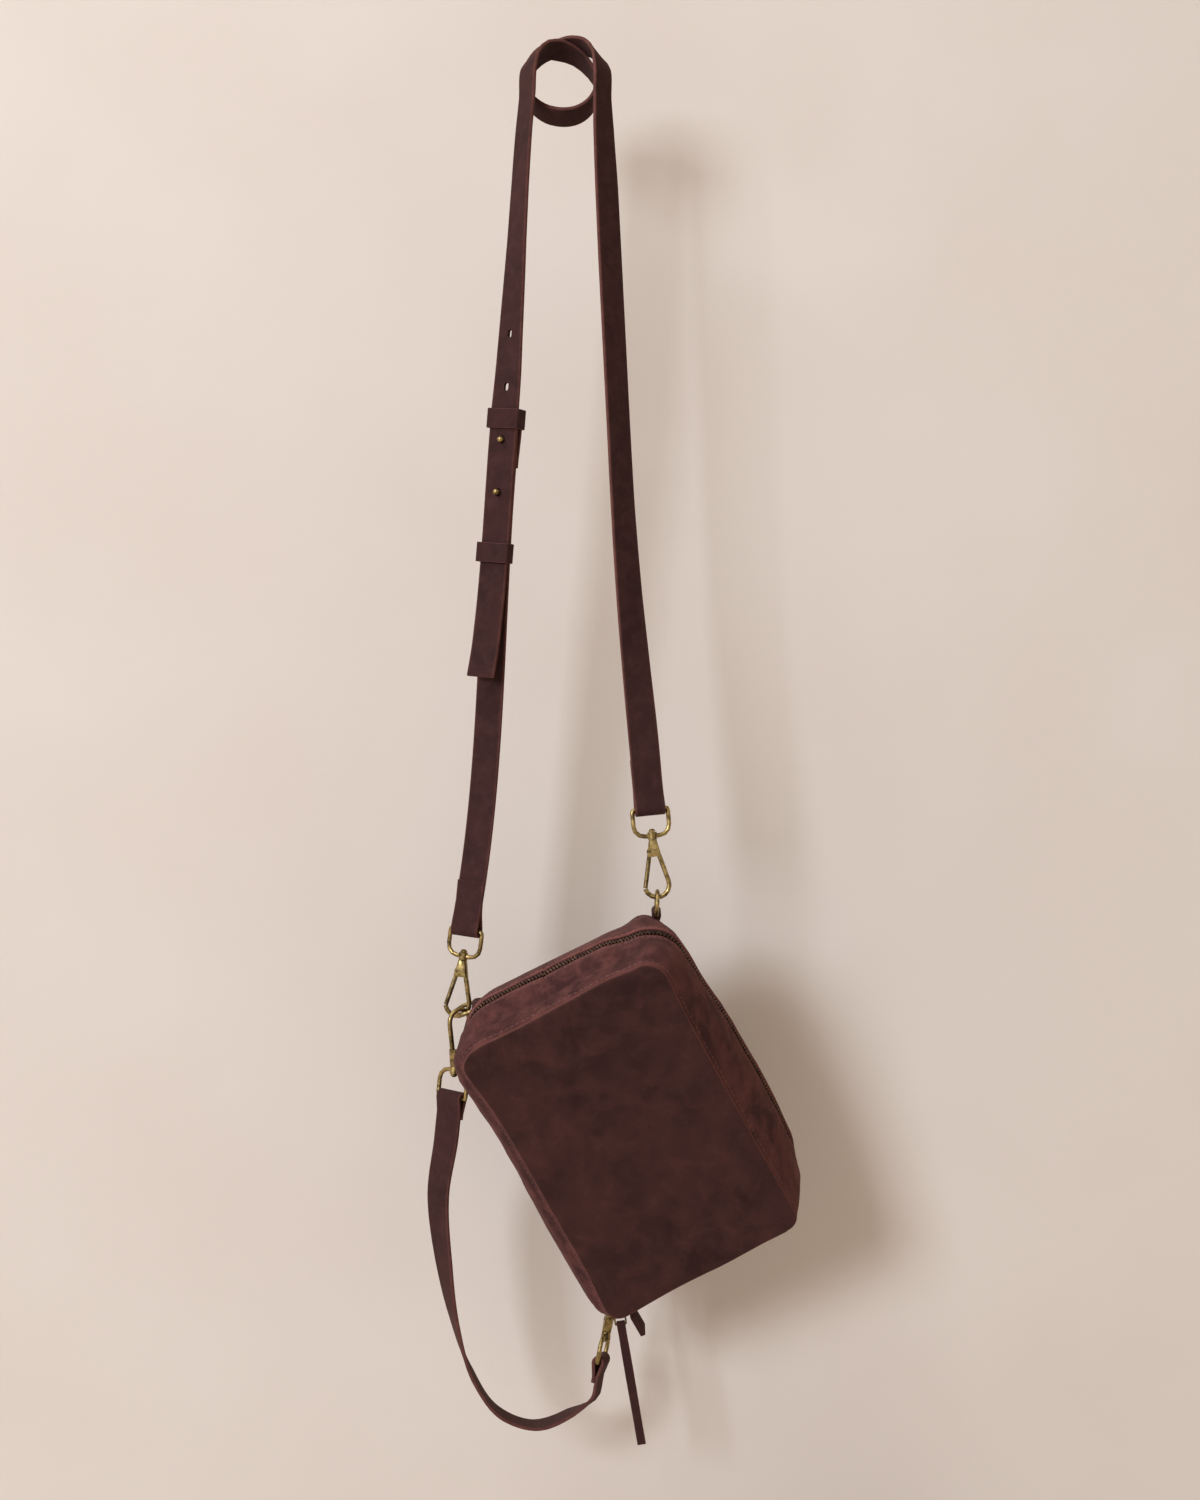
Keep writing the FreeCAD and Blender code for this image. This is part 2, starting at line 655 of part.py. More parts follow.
# --- slider, puller and leather pull ----------------------------------------------------------
def zip_slider():
    """Two plates joined by a post that runs in the gap between the teeth; flanges wrap each row."""
    run = fit_gap
    inner_y = half_gap + teeth_width + run
    outer_y = inner_y + slider_wall
    low_x = -zip_face + teeth_inset - run
    back_x = -zip_face + tape_foot + run
    z0 = -slider_rest - slider_length / 2
    size = Vector(slider_wall, 2 * outer_y, slider_length)
    top = Part.makeBox(size.x, size.y, size.z, Vector(low_x - slider_wall, -zip_line - outer_y, z0))
    foot = Part.makeBox(size.x, size.y, size.z, Vector(back_x, -zip_line - outer_y, z0))
    top = top.makeFillet(0.9, [e for e in top.Edges if abs(e.tangentAt(e.FirstParameter).x) > 0.9])
    foot = foot.makeFillet(0.9, [e for e in foot.Edges if abs(e.tangentAt(e.FirstParameter).x) > 0.9])
    body = top.fuse(foot)
    flange_reach = tape_inset - run - (teeth_inset - run)
    for y in (-zip_line - outer_y, -zip_line + inner_y):
        flange = Part.makeBox(flange_reach, slider_wall, slider_length - 2.0, Vector(low_x, y, z0 + 1.0))
        body = body.fuse(flange)
    post = Part.makeBox(back_x - low_x + 0.4, teeth_gap - 2 * run, 2.0,
                        Vector(low_x - 0.2, -zip_line - half_gap + run, z0 + 1.0))
    body = body.fuse(post)
    for y in (-2.7, 1.7):
        tip = low_x - slider_wall - pin_stand - 1.3
        lug = Part.makeBox(pin_stand + 1.5, 1.0, 3.2, Vector(tip, -zip_line + y, -slider_rest - 1.6))
        lug = lug.makeFillet(1.2, [e for e in lug.Edges if abs(e.tangentAt(e.FirstParameter).y) > 0.9
                                   and e.CenterOfMass.x < tip + 0.1])
        body = body.fuse(lug)
    pin = Part.makeCylinder(pull_pin, 5.4, slider_pin - Vector(0, 2.7, 0), Vector(0, 1, 0))
    return body.fuse(pin).removeSplitter()


slider_pin = Vector(-zip_face + teeth_inset - fit_gap - slider_wall - pin_stand, -zip_line, -slider_rest)
bag_save("zip_slider", zip_slider())
pull_origin = bag_place.multVec(slider_pin)
pull_down = unit(0.17, 0.0, -0.985)


def zip_puller():
    """Flat tag in local YZ: eye on the slider's pin, tapered neck, and a slot whose foot bar carries the leather."""
    t = puller_thick
    half = pull_width / 2 + 1.4
    low = -puller_length
    outline = [Vector(-t / 2, y, z) for y, z in ((-1.7, 0), (-1.7, -2.6), (-half, low + 5.6), (-half, low),
                                                (half, low), (half, low + 5.6), (1.7, -2.6), (1.7, 0))]
    tag = Part.Face(Part.makePolygon(outline + [outline[0]])).extrude(Vector(t, 0, 0))
    corners = [e for e in tag.Edges if abs(e.tangentAt(e.FirstParameter).x) > 0.9 and e.CenterOfMass.z < low + 1.0]
    tag = tag.makeFillet(1.1, corners)
    eye = Part.makeCylinder(1.9, t + 1.0, Vector(-t / 2 - 0.5, 0, 0), Vector(1, 0, 0))
    bore = Part.makeCylinder(pull_pin + fit_gap + 0.1, 4.0, Vector(-2.0, 0, 0), Vector(1, 0, 0))
    slot = Part.makeBox(4.0, pull_width + 0.6, 3.2, Vector(-2.0, -pull_width / 2 - 0.3, low + pull_bar))
    return tag.fuse(eye).cut(bore).cut(slot)


def leather_pull():
    """Narrow strip looped round the puller's foot bar and glued back on itself, cut square."""
    bar_reach = math.hypot(puller_thick, pull_bar) / 2
    return folded_end(bar_reach, pull_thick / 2, pull_width, pull_length, pull_length)


puller_place = frame_at(pull_origin, pull_down * -1, bag_vec(0, 1, 0))
save("zip_puller", placed(zip_puller(), puller_place))
loop_at = puller_place.multVec(Vector(0, 0, -puller_length + pull_bar / 2))
save("zip_pull", placed(leather_pull(), frame_at(loop_at, pull_down, puller_place.Rotation.multVec(Vector(0, 1, 0)))))


# --- D-rings and leather tabs -----------------------------------------------------------------
def d_ring():
    """Straight bar along local x at z = 0, half-round bow with its top at d_side + d_bend."""
    r = 2.0
    bow = Vector(0, 0, d_side)
    edges = [
        Part.makeLine(Vector(-d_bend + r, 0, 0), Vector(d_bend - r, 0, 0)),
        arc(Vector(d_bend - r, 0, r), r, -90, 0),
        Part.makeLine(Vector(d_bend, 0, r), Vector(d_bend, 0, d_side)),
        arc(bow, d_bend, 0, 180),
        Part.makeLine(Vector(-d_bend, 0, d_side), Vector(-d_bend, 0, r)),
        arc(Vector(-d_bend + r, 0, r), r, 180, 270),
    ]
    return wire_rod(edges, d_wire, True)


def d_set(name, contact, outward, bow_angle, bar_axis):
    """D-ring whose bow passes through 'contact', bow_angle round from its top, and the tab behind it."""
    out = Vector(outward)
    out = (out - bar_axis * out.dot(bar_axis)).normalize()
    a = math.radians(bow_angle)
    toward = bar_axis * -1
    bow_centre = contact - (out * math.cos(a) + toward * math.sin(a)) * d_bend
    bar = bow_centre - out * d_side
    save("d_ring_" + name, placed(d_ring(), frame_at(bar, out, toward)))
    tab = placed(folded_end(d_wire / 2, tab_thick, tab_width, tab_length, tab_length), frame_at(bar, out * -1, toward))
    behind_back = plate(20.0, 0.0, 0.0)
    for solid in (back_panel_part, back_gusset_part, plate(-panel_thick, zip_back, wall / 2), behind_back):
        tab = tab.cut(placed(solid, bag_place))
    pieces = sorted(tab.Solids, key=lambda s: (s.CenterOfMass - bar).Length)
    save("tab_" + name, pieces[0])
    return {"bow": bow_centre, "out": out, "toward": toward, "bar": bar}


d_right = d_set("right", right_clip["contact"], Vector(0.05, 0, 1), 0.0, bag_vec(0, 1, 0))
d_left = d_set("left", left_clip["contact"], Vector(-0.94, 0, -0.34), -20.0, bag_vec(0, 1, 0))
corner_low = bag_place.multVec(Vector(-bag_width / 2 + 2.0, -8.0, -bag_height / 2 - 2.0))
low_contact = corner_low + Vector(-0.5, 0.0, -21.0)
d_low = d_set("low", low_contact, Vector(-0.12, 0, -1), 0.0, Vector(1, 0.1, 0))


# --- wrist strap ------------------------------------------------------------------------------
def bow_point(ring, angle):
    a = math.radians(angle)
    return ring["bow"] + (ring["out"] * math.cos(a) + ring["toward"] * math.sin(a)) * d_bend


clip_reach = ring_reach + hook_reach - hook_wire / 2 - d_wire / 2 - seat_gap
upper_contact = bow_point(d_left, 58.0)
upper_rise = unit(0.10, 0.02, 0.99)
upper_bar = upper_contact - upper_rise * clip_reach
wrist_upper = clip_set("wrist_upper", upper_bar, upper_rise, Vector(0.8, -0.6, 0), Vector(-0.74, -0.67, 0))
lower_rise = unit(0.19, 0.05, 0.98)
lower_bar = low_contact - lower_rise * clip_reach
wrist_lower = clip_set("wrist_lower", lower_bar, lower_rise, Vector(0.25, 1, 0), Vector(0.1, -1, 0))


def wrist_strap():
    t = strap_thick
    up_normal = Vector(-0.6, -0.8, 0)
    top = strap_frame(upper_bar, upper_rise * -1, up_normal)
    low_normal = Vector(1, -0.25, -0.3)
    low = strap_frame(lower_bar, lower_rise * -1, low_normal)
    join = wrist_fold + 3.0
    fold = folded_end(ring_wire / 2 + eye_play, t, strap_width, wrist_fold, join)
    start = top.multVec(Vector(0, t / 2, join - 1.0))
    stop = low.multVec(Vector(0, t / 2, join - 1.0))
    top_face = top.Rotation.multVec(Vector(0, 1, 0))
    low_face = low.Rotation.multVec(Vector(0, 1, 0)) * 1.0
    lead_in = top.multVec(Vector(0, t / 2, join + 8.0))
    lead_out = low.multVec(Vector(0, t / 2, join + 6.0))
    stations = [(start, top_face), (lead_in, top_face)]
    for x, y, z, face in ((-86.0, 18.0, -752.0, (-0.69, -0.72, 0.0)), (-82.5, 21.0, -796.0, (-0.82, -0.57, -0.1)),
                          (-76.0, 26.0, -836.0, (-0.93, -0.30, -0.2)), (-64.0, 33.0, -876.0, (-0.90, -0.05, -0.43)),
                          (-45.0, 41.0, -905.0, (-0.50, 0.0, -0.86)), (-20.0, 49.0, -915.5, (0.0, 0.0, -1.0)),
                          (3.0, 56.0, -909.0, (0.45, 0.0, -0.89))):
        stations.append((Vector(x, y, z), Vector(*face)))
    stations += [(lead_out, low_face), (stop, low_face)]
    return ribbon(stations, strap_width, t).fuse(placed(fold, top)).fuse(placed(fold, low))


save("wrist_strap", wrist_strap())

# --- lining and slip pocket -------------------------------------------------------------------
liner_outer = wall + 0.2
liner_edge = tape_reach + 0.5


def lining(y_face, y_edge, inward):
    """Fabric skin inside one shell: a floor by the panel and a wall up to the zip tape."""
    skin_out = plate(y_face, y_edge, liner_outer)
    return skin_out.cut(plate(y_face + inward * lining_thick, y_edge + inward, liner_outer + lining_thick))


liner_back = lining(-panel_thick - 0.2, -(zip_line - liner_edge), -1)
liner_front = lining(-(bag_depth - panel_thick - 0.2), -(zip_line + liner_edge), 1)
bag_save("lining_back", liner_back)
bag_save("lining_front", liner_front)
pocket_y = -panel_thick - lining_thick - 0.5
pocket = Part.makeBox(pocket_width, 1.6, pocket_height, Vector(-pocket_width / 2, pocket_y - 1.6, -pocket_height + 12.0))
pocket = pocket.makeFillet(8.0, [e for e in pocket.Edges if abs(e.tangentAt(e.FirstParameter).y) > 0.9
                                 and e.CenterOfMass.z < 0])
bag_save("inner_pocket", pocket)

# --- report the numbers that joints and mounts use ----------------------------------------------
for name, info in clips.items():
    for key in ("swivel", "axis", "contact", "gate_pivot", "gate_axis"):
        v = info[key]
        print(name, key, [round(v.x, 6), round(v.y, 6), round(v.z, 6)])
for label, v in (("pull_pin", pull_origin), ("low_contact", low_contact), ("upper_contact", upper_contact),
                 ("zip_axis", bag_vec(0, 0, 1)), ("bag_x", bag_vec(1, 0, 0)), ("bag_y", bag_vec(0, 1, 0)),
                 ("hinge", bag_place.multVec(Vector(0, zip_front, -(bag_height / 2 + crown(zip_front))))),
                 ("keeper_axis", left_down * -1), ("keeper_at", short_top + left_down * slide_keeper_drop),
                 ("bow_right", d_right["bow"]), ("back_face", bag_centre)):
    print(label, [round(v.x, 6), round(v.y, 6), round(v.z, 6)])
for name, shape in built.items():
    if not shape.isValid():
        print("INVALID", name)
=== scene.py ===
import json
from functools import partial
from math import acos, atan2, copysign, cos, dist, exp, hypot, pi, radians, sin, sqrt, tau

import bmesh
import bpy
from mathutils import Matrix, Vector, noise


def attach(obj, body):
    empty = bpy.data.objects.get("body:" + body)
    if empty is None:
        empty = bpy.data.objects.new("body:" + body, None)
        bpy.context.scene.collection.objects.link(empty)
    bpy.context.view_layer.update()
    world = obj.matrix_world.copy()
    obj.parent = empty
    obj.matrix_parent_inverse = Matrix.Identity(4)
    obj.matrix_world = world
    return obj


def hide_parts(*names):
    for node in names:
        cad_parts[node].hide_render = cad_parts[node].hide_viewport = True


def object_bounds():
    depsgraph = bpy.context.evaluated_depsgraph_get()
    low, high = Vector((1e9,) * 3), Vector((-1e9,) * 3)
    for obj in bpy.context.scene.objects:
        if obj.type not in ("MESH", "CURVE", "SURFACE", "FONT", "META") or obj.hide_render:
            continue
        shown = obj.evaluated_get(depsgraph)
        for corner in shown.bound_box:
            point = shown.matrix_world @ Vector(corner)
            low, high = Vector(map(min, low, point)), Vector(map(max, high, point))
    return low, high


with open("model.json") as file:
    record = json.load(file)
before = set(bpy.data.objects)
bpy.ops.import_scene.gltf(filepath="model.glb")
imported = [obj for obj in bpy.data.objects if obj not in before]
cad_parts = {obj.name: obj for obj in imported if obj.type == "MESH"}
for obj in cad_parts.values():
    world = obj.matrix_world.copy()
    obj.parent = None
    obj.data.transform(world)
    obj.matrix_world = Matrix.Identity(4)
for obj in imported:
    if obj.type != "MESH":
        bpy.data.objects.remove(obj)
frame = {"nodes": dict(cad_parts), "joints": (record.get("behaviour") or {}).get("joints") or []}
nodes = frame["nodes"]
cadBox = [list(corner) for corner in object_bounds()]

scene = bpy.context.scene
scene.view_settings.view_transform = "Standard"
mm = 0.001


# ---- camera, floor, wall and lights
camera = {"place": (0.0233, -1.45, -0.45), "lens": 52.17, "sensor": 36.0, "clip": (0.01, 50.0)}
# the wall stands clear of the bag even when the bag swings back
stage = {"floorDrop": 0.09, "wallGap": 0.05, "reach": 4.0, "floorColour": "#e2d6cc",
         "wallColour": "#ddd4cc", "cloudColour": "#d3c6bd", "backdropColour": "#dcd3cc",
         "roomColour": "#fee8ce", "roomStrength": 0.42}
# place, aim, size, power and colour of each
lights = {"key": ((-3.6, -5.5, 1.35), (0.0, 0.0, -0.5), 1.9, 290.0, "#eaf3ff"),
          "overhead": ((-1.4, -0.9, 1.9), (0.0, 0.0, -0.6), 1.5, 34.0, "#fffdfb"),
          "back": ((-0.6, 2.3, 0.4), (0.0, 0.0, -0.6), 1.8, 9.0, "#fffdfa")}


def linear(hexColour):
    parts = [int(hexColour[i:i + 2], 16) / 255 for i in (1, 3, 5)]
    return [c / 12.92 if c <= 0.04045 else ((c + 0.055) / 1.055) ** 2.4 for c in parts] + [1.0]


def addNode(owner, kind, sockets=None, **fields):
    # a socket takes a number, a hex colour, another node's socket, or a node, which gives its first output
    node = owner.node_tree.nodes.new("ShaderNode" + kind)
    for name, value in fields.items():
        setattr(node, name, value)
    for name, value in (sockets or {}).items():
        if isinstance(value, bpy.types.Node):
            value = value.outputs[0]
        elif isinstance(value, str):
            value = linear(value)
        if isinstance(value, bpy.types.NodeSocket):
            owner.node_tree.links.new(value, node.inputs[name])
        else:
            node.inputs[name].default_value = value
    return node


def startNodes(owner):
    # empties a material or a world, and gives the function that adds nodes to it
    owner.use_nodes = True
    owner.node_tree.nodes.clear()
    return partial(addNode, owner)


def newMaterial(name, recipe, *look):
    # a recipe takes the function that adds nodes, the place on the piece and its look
    material = bpy.data.materials.new(name)
    add = startNodes(material)
    add("OutputMaterial", {"Surface": recipe(add, add("TexCoord").outputs["Object"], *look)})
    return material


def perMm(size):
    return 1.0 / (size * mm)


def seenDirectly(add):
    # 1 for what the eye, a reflection or a clear surface sees, 0 for light
    rays = add("LightPath").outputs
    seen = add("Math", {0: rays["Is Camera Ray"], 1: rays["Is Glossy Ray"]}, operation="MAXIMUM")
    return add("Math", {0: seen, 1: rays["Is Transmission Ray"]}, operation="MAXIMUM")


def overlay(add, under, over, pattern, low, high, most=1.0):
    # lays one colour over another where a pattern is high
    share = add("MapRange", {"Value": pattern, "From Min": low, "From Max": high, "To Max": most})
    return add("Mix", {0: share, 6: under, 7: over}, data_type="RGBA").outputs[2]


def paintedPlaster(add, spot, colour, oneSided):
    # matt emulsion on plaster: flat and pale, with a faint cloudy unevenness from the roller
    cloud = add("TexNoise", {"Vector": spot, "Scale": perMm(160.0), "Detail": 2.0})
    tone = overlay(add, colour, stage["cloudColour"], cloud, 0.3, 0.7, 0.35)
    grain = add("TexNoise", {"Vector": spot, "Scale": perMm(5.0), "Detail": 3.0})
    bump = add("Bump", {"Height": grain, "Strength": 0.12, "Distance": 0.4 * mm})
    shown = add("BsdfDiffuse", {"Color": tone, "Normal": bump})
    if oneSided:
        # the wall shows from its front only, to the eye and in the metal, and lets all light through
        behind = add("NewGeometry").outputs["Backfacing"]
        seen = add("Math", {0: seenDirectly(add), 1: behind}, operation="SUBTRACT", use_clamp=True)
        shown = add("MixShader", {0: seen, 1: add("BsdfTransparent"), 2: shown})
    return shown


def linked(name, data):
    holder = bpy.data.objects.new(name, data)
    scene.collection.objects.link(holder)
    return holder


def stagePlane(name, corners, material):
    mesh = bpy.data.meshes.new(name)
    mesh.from_pydata(corners, [], [(0, 1, 2, 3)])
    mesh.materials.append(material)
    plane = linked(name, mesh)


view = bpy.data.cameras.new("camera")
view.lens, view.sensor_width = camera["lens"], camera["sensor"]
view.clip_start, view.clip_end = camera["clip"]
viewer = linked("camera", view)
viewer.location, viewer.rotation_euler = camera["place"], (radians(90), 0.0, 0.0)
scene.camera = viewer

floorLevel = cadBox[0][2] - stage["floorDrop"]
wallFace = cadBox[1][1] + stage["wallGap"]
reach = stage["reach"]
square = ((-1, -1), (1, -1), (1, 1), (-1, 1))
stagePlane("floor", [(x * reach, y * reach, floorLevel) for x, y in square],
           newMaterial("pale painted floor", paintedPlaster, stage["floorColour"], False))
stagePlane("wall", [(x * reach, wallFace, reach if y > 0 else floorLevel) for x, y in square],
           newMaterial("pale painted wall", paintedPlaster, stage["wallColour"], True))

for name, (spot, aim, size, power, colour) in lights.items():
    lamp = bpy.data.lights.new(name, "AREA")
    lamp.size, lamp.energy, lamp.color = size, power, linear(colour)[:3]
    holder = linked(name, lamp)
    holder.location = spot
    holder.rotation_euler = (Vector(aim) - Vector(spot)).to_track_quat("-Z", "Y").to_euler()
room = bpy.data.worlds.new("room")
scene.world = room
# the room lights the bag softly; to the eye and in the metal it is a plain pale backdrop
add = startNodes(room)
glow = add("Background", {"Color": stage["roomColour"], "Strength": stage["roomStrength"]})
backdrop = add("Background", {"Color": stage["backdropColour"], "Strength": 1.0})
add("OutputWorld", {"Surface": add("MixShader", {0: seenDirectly(add), 1: glow, 2: backdrop})})
print("stage ready")


# ---- materials
def suedeLeather(add, spot, look):
    # split cowhide buffed to a nap: dead matt, cloudy where the nap lies different ways, paler and
    # pinker along seams and cut edges: rubbed nap and raw edges, and a painted highlight on the seam crests
    dark, middle, light = look["tones"]
    cloud = add("TexNoise", {"Vector": spot, "Scale": perMm(look["cloud"]),
                             "Detail": 3.0, "Roughness": 0.6, "Distortion": 0.5})
    patch = add("TexNoise", {"Vector": spot, "Scale": perMm(look["cloud"] * 0.36),
                             "Detail": 4.0, "Roughness": 0.62, "Distortion": 0.35})
    # the nap's real fibres are 0.1 to 0.3 mm; drawn at 1.6 mm so that the mottling shows
    nap = add("TexNoise", {"Vector": spot, "Scale": perMm(1.6), "Detail": 4.0, "Roughness": 0.75})
    tone = overlay(add, dark, middle, cloud, *look["spread"])
    tone = overlay(add, tone, light, patch, 0.44, 0.74, look["patches"])
    tone = overlay(add, tone, dark, nap, 0.3, 0.75, 0.35)
    # paler colour along edges and seams: real raw edges and rubbed nap, plus a painted highlight on the seam
    # crests
    rub = add("Attribute", attribute_name="rub").outputs["Fac"]
    share = add("MapRange", {"Value": patch, "From Min": 0.3, "From Max": 0.7, "To Min": 0.45})
    worn = add("Math", {0: rub, 1: share}, operation="MULTIPLY")
    tone = add("Mix", {0: worn, 6: tone, 7: look["rubbed"]}, data_type="RGBA").outputs[2]
    bump = add("Bump", {"Height": nap, "Strength": 0.6, "Distance": 0.5 * mm})
    return add("BsdfPrincipled", {
        "Base Color": tone, "Roughness": 0.92, "IOR": 1.45, "Specular IOR Level": 0.2, "Normal": bump,
        "Sheen Weight": 0.12, "Sheen Roughness": 0.45, "Sheen Tint": "#c98f86"})


def antiqueBrass(add, spot, bright, worn, tarnish, roughness):
    # cast brass, plated and chemically darkened, warm gold where rubbed and a brown-black film in its
    # hollows;
    # here the gold and the film lie in random noise patches
    film = add("TexNoise", {"Vector": spot, "Scale": perMm(4.5), "Detail": 4.0,
                            "Roughness": 0.65, "Distortion": 0.6})
    scuff = add("TexNoise", {"Vector": spot, "Scale": perMm(0.9), "Detail": 3.0, "Roughness": 0.7})
    tone = overlay(add, bright, worn, film, 0.36, 0.6)
    tone = overlay(add, tone, tarnish, film, 0.56, 0.72)
    dull = add("Math", {0: scuff, 1: 0.5, 2: film}, operation="MULTIPLY_ADD")
    gloss = add("MapRange", {"Value": dull, "From Min": 0.5, "From Max": 1.1,
                             "To Min": roughness[0], "To Max": roughness[1]})
    bump = add("Bump", {"Height": scuff, "Strength": 0.18, "Distance": 0.15 * mm})
    return add("BsdfPrincipled", {"Base Color": tone, "Metallic": 1.0, "Roughness": gloss, "Normal": bump})


def wovenCloth(add, spot, colour, shade, pitch, sheen):
    # plain-woven cotton or polyester: two sets of threads, matt, with a fine regular relief
    # threads are about 0.25 mm apart; pitch is coarser so that the weave shows
    weave = [add("TexWave", {"Vector": spot, "Scale": perMm(pitch) * 0.16, "Distortion": 0.6,
                             "Detail": 1.0}, bands_direction=axis).outputs["Fac"] for axis in ("X", "Z")]
    threads = add("Math", {0: weave[0], 1: weave[1]}, operation="MULTIPLY")
    fade = add("TexNoise", {"Vector": spot, "Scale": perMm(14.0), "Detail": 3.0})
    tone = overlay(add, shade, colour, threads, 0.1, 0.8, 0.8)
    tone = overlay(add, tone, shade, fade, 0.35, 0.7, 0.4)
    bump = add("Bump", {"Height": threads, "Strength": 0.5, "Distance": 0.2 * mm})
    return add("BsdfPrincipled", {
        "Base Color": tone, "Roughness": 0.88, "Specular IOR Level": 0.25, "Normal": bump,
        "Sheen Weight": sheen, "Sheen Roughness": 0.5})


def spunThread(add, spot, colour, shade):
    # bonded polyester sewing thread: two plies, a slight silky shine
    turned = add("Mapping", {"Vector": spot, "Scale": (1.0, 1.0, 2.5)})
    ply = add("TexNoise", {"Vector": turned, "Scale": perMm(0.8), "Detail": 2.0})
    tone = overlay(add, shade, colour, ply, 0.35, 0.65)
    return add("BsdfPrincipled", {"Base Color": tone, "Roughness": 0.6, "Sheen Weight": 0.15})


bagSuede = newMaterial("buffed split suede, bag", suedeLeather, {
    "tones": ("#2f1b19", "#412624", "#57342f"), "rubbed": "#83524b",
    "cloud": 48.0, "spread": (0.34, 0.64), "patches": 0.55})
# the gusset's suede is drawn in lighter tones than the panel's: painted light, for the light the top gusset
# catches
gussetSuedePaintedLight = newMaterial("buffed split suede, gusset", suedeLeather, {
    "tones": ("#381f1f", "#54302e", "#734541"), "rubbed": "#8a544d",
    "cloud": 32.0, "spread": (0.4, 0.6), "patches": 0.7})
strapSuede = newMaterial("buffed split suede, strap", suedeLeather, {
    "tones": ("#311d1c", "#3c2322", "#482d2b"), "rubbed": "#6a423c",
    "cloud": 22.0, "spread": (0.34, 0.62), "patches": 0.75})
brass = newMaterial("antique brass, cast and rubbed", antiqueBrass,
                    "#b39c66", "#776540", "#372e20", (0.26, 0.5))
brassDark = newMaterial("antique brass, tarnished", antiqueBrass,
                        "#7a6742", "#50422c", "#282018", (0.32, 0.58))
brassTeeth = newMaterial("antique brass, stamped zip teeth", antiqueBrass,
                         "#63493a", "#3a2822", "#221816", (0.35, 0.6))
tapeCloth = newMaterial("woven polyester zip tape", wovenCloth, "#43262a", "#2b1819", 0.6, 0.1)
liningCloth = newMaterial("woven cotton lining", wovenCloth, "#8a6a5c", "#5d4238", 0.8, 0.15)
thread = newMaterial("bonded polyester thread", spunThread, "#6f453f", "#4e2f2b")
print("materials ready")


# ---- mesh helpers
def finished(name, mesh, material, sharpAngle):
    # smooth shading except at sharp edges, one material, and a place in the scene
    mesh.shade_smooth()
    mesh.set_sharp_from_angle(angle=radians(sharpAngle))
    mesh.materials.append(material)
    return linked(name, mesh)


def makePiece(name, points, faces, material, rub=None, moved=None, sharpAngle=45.0):
    mesh = bpy.data.meshes.new(name)
    mesh.from_pydata([tuple(p) for p in points], [], faces)
    mesh.update()
    # point attribute for the suede: raw edges and rubbed nap, and a painted highlight on the seam crests
    if rub:
        mesh.attributes.new("rub", "FLOAT", "POINT").data.foreach_set("value", rub)
    if moved:
        mesh.transform(moved)
    form = bmesh.new()
    form.from_mesh(mesh)
    bmesh.ops.recalc_face_normals(form, faces=form.faces)
    form.to_mesh(mesh)
    form.free()
    return finished(name, mesh, material, sharpAngle)


def ringFaces(size, count, base=0, closed=False, capped=False):
    # quads between rings of points; closed joins the last ring to the first, capped fills both ends
    faces = []
    for i in range(count if closed else count - 1):
        low, high = base + i * size, base + (i + 1) % count * size
        faces += [(low + k, low + (k + 1) % size, high + (k + 1) % size, high + k) for k in range(size)]
    if capped:
        last = base + (count - 1) * size
        faces += [tuple(base + k for k in reversed(range(size))), tuple(last + k for k in range(size))]
    return faces


def walk(path):
    # path is (point, outward) pairs; gives its length, and a function from a distance along it to
    # the point, the outward and the onward direction there
    lengths = [0.0]
    for (a, _), (b, _) in zip(path, path[1:]):
        lengths.append(lengths[-1] + (b - a).length)

    def pointAt(s):
        k = 0
        while k < len(lengths) - 2 and lengths[k + 1] < s:
            k += 1
        (a, outA), (b, outB) = path[k], path[k + 1]
        f = (s - lengths[k]) / max(1e-9, lengths[k + 1] - lengths[k])
        return a.lerp(b, f), outA.lerp(outB, f).normalized(), (b - a).normalized()

    return lengths[-1], pointAt


def smoothPath(stations, spacing):
    # a curve through every station, with the strap's outward direction carried along it
    centres = [Vector(s[0]) for s in stations]
    faces = [Vector(s[1]).normalized() for s in stations]
    gaps = [(b - a).length for a, b in zip(centres, centres[1:])]
    chords = [(b - a) / gap for a, b, gap in zip(centres, centres[1:], gaps)]
    slopes = [chords[0]]
    for i in range(1, len(gaps)):
        slopes.append((chords[i - 1] * gaps[i] + chords[i] * gaps[i - 1]) / (gaps[i - 1] + gaps[i]))
    slopes.append(chords[-1])
    path = []
    for i, gap in enumerate(gaps):
        count = max(1, round(gap / spacing))
        for k in range(count):
            t = k / count
            a, b = (1 + 2 * t) * (1 - t) ** 2, t * (1 - t) ** 2
            c, d = t * t * (3 - 2 * t), t * t * (t - 1)
            centre = centres[i] * a + slopes[i] * (b * gap) + centres[i + 1] * c + slopes[i + 1] * (d * gap)
            path.append((centre, faces[i].lerp(faces[i + 1], t)))
    path.append((centres[-1], faces[-1]))
    return path


# flat leather strips: rounding of the cut edge, and how worn it is on the flat, the round and the edge
leatherEdge = {"round": 0.55 * mm, "most": 0.6, "corner": 0.3, "flats": (0.0, 0.4, 0.85),
               "wear": (0.4, 0.8, 1.0)}
foldedEnd = {"play": 0.15 * mm, "meet": 2.2, "steps": 12}


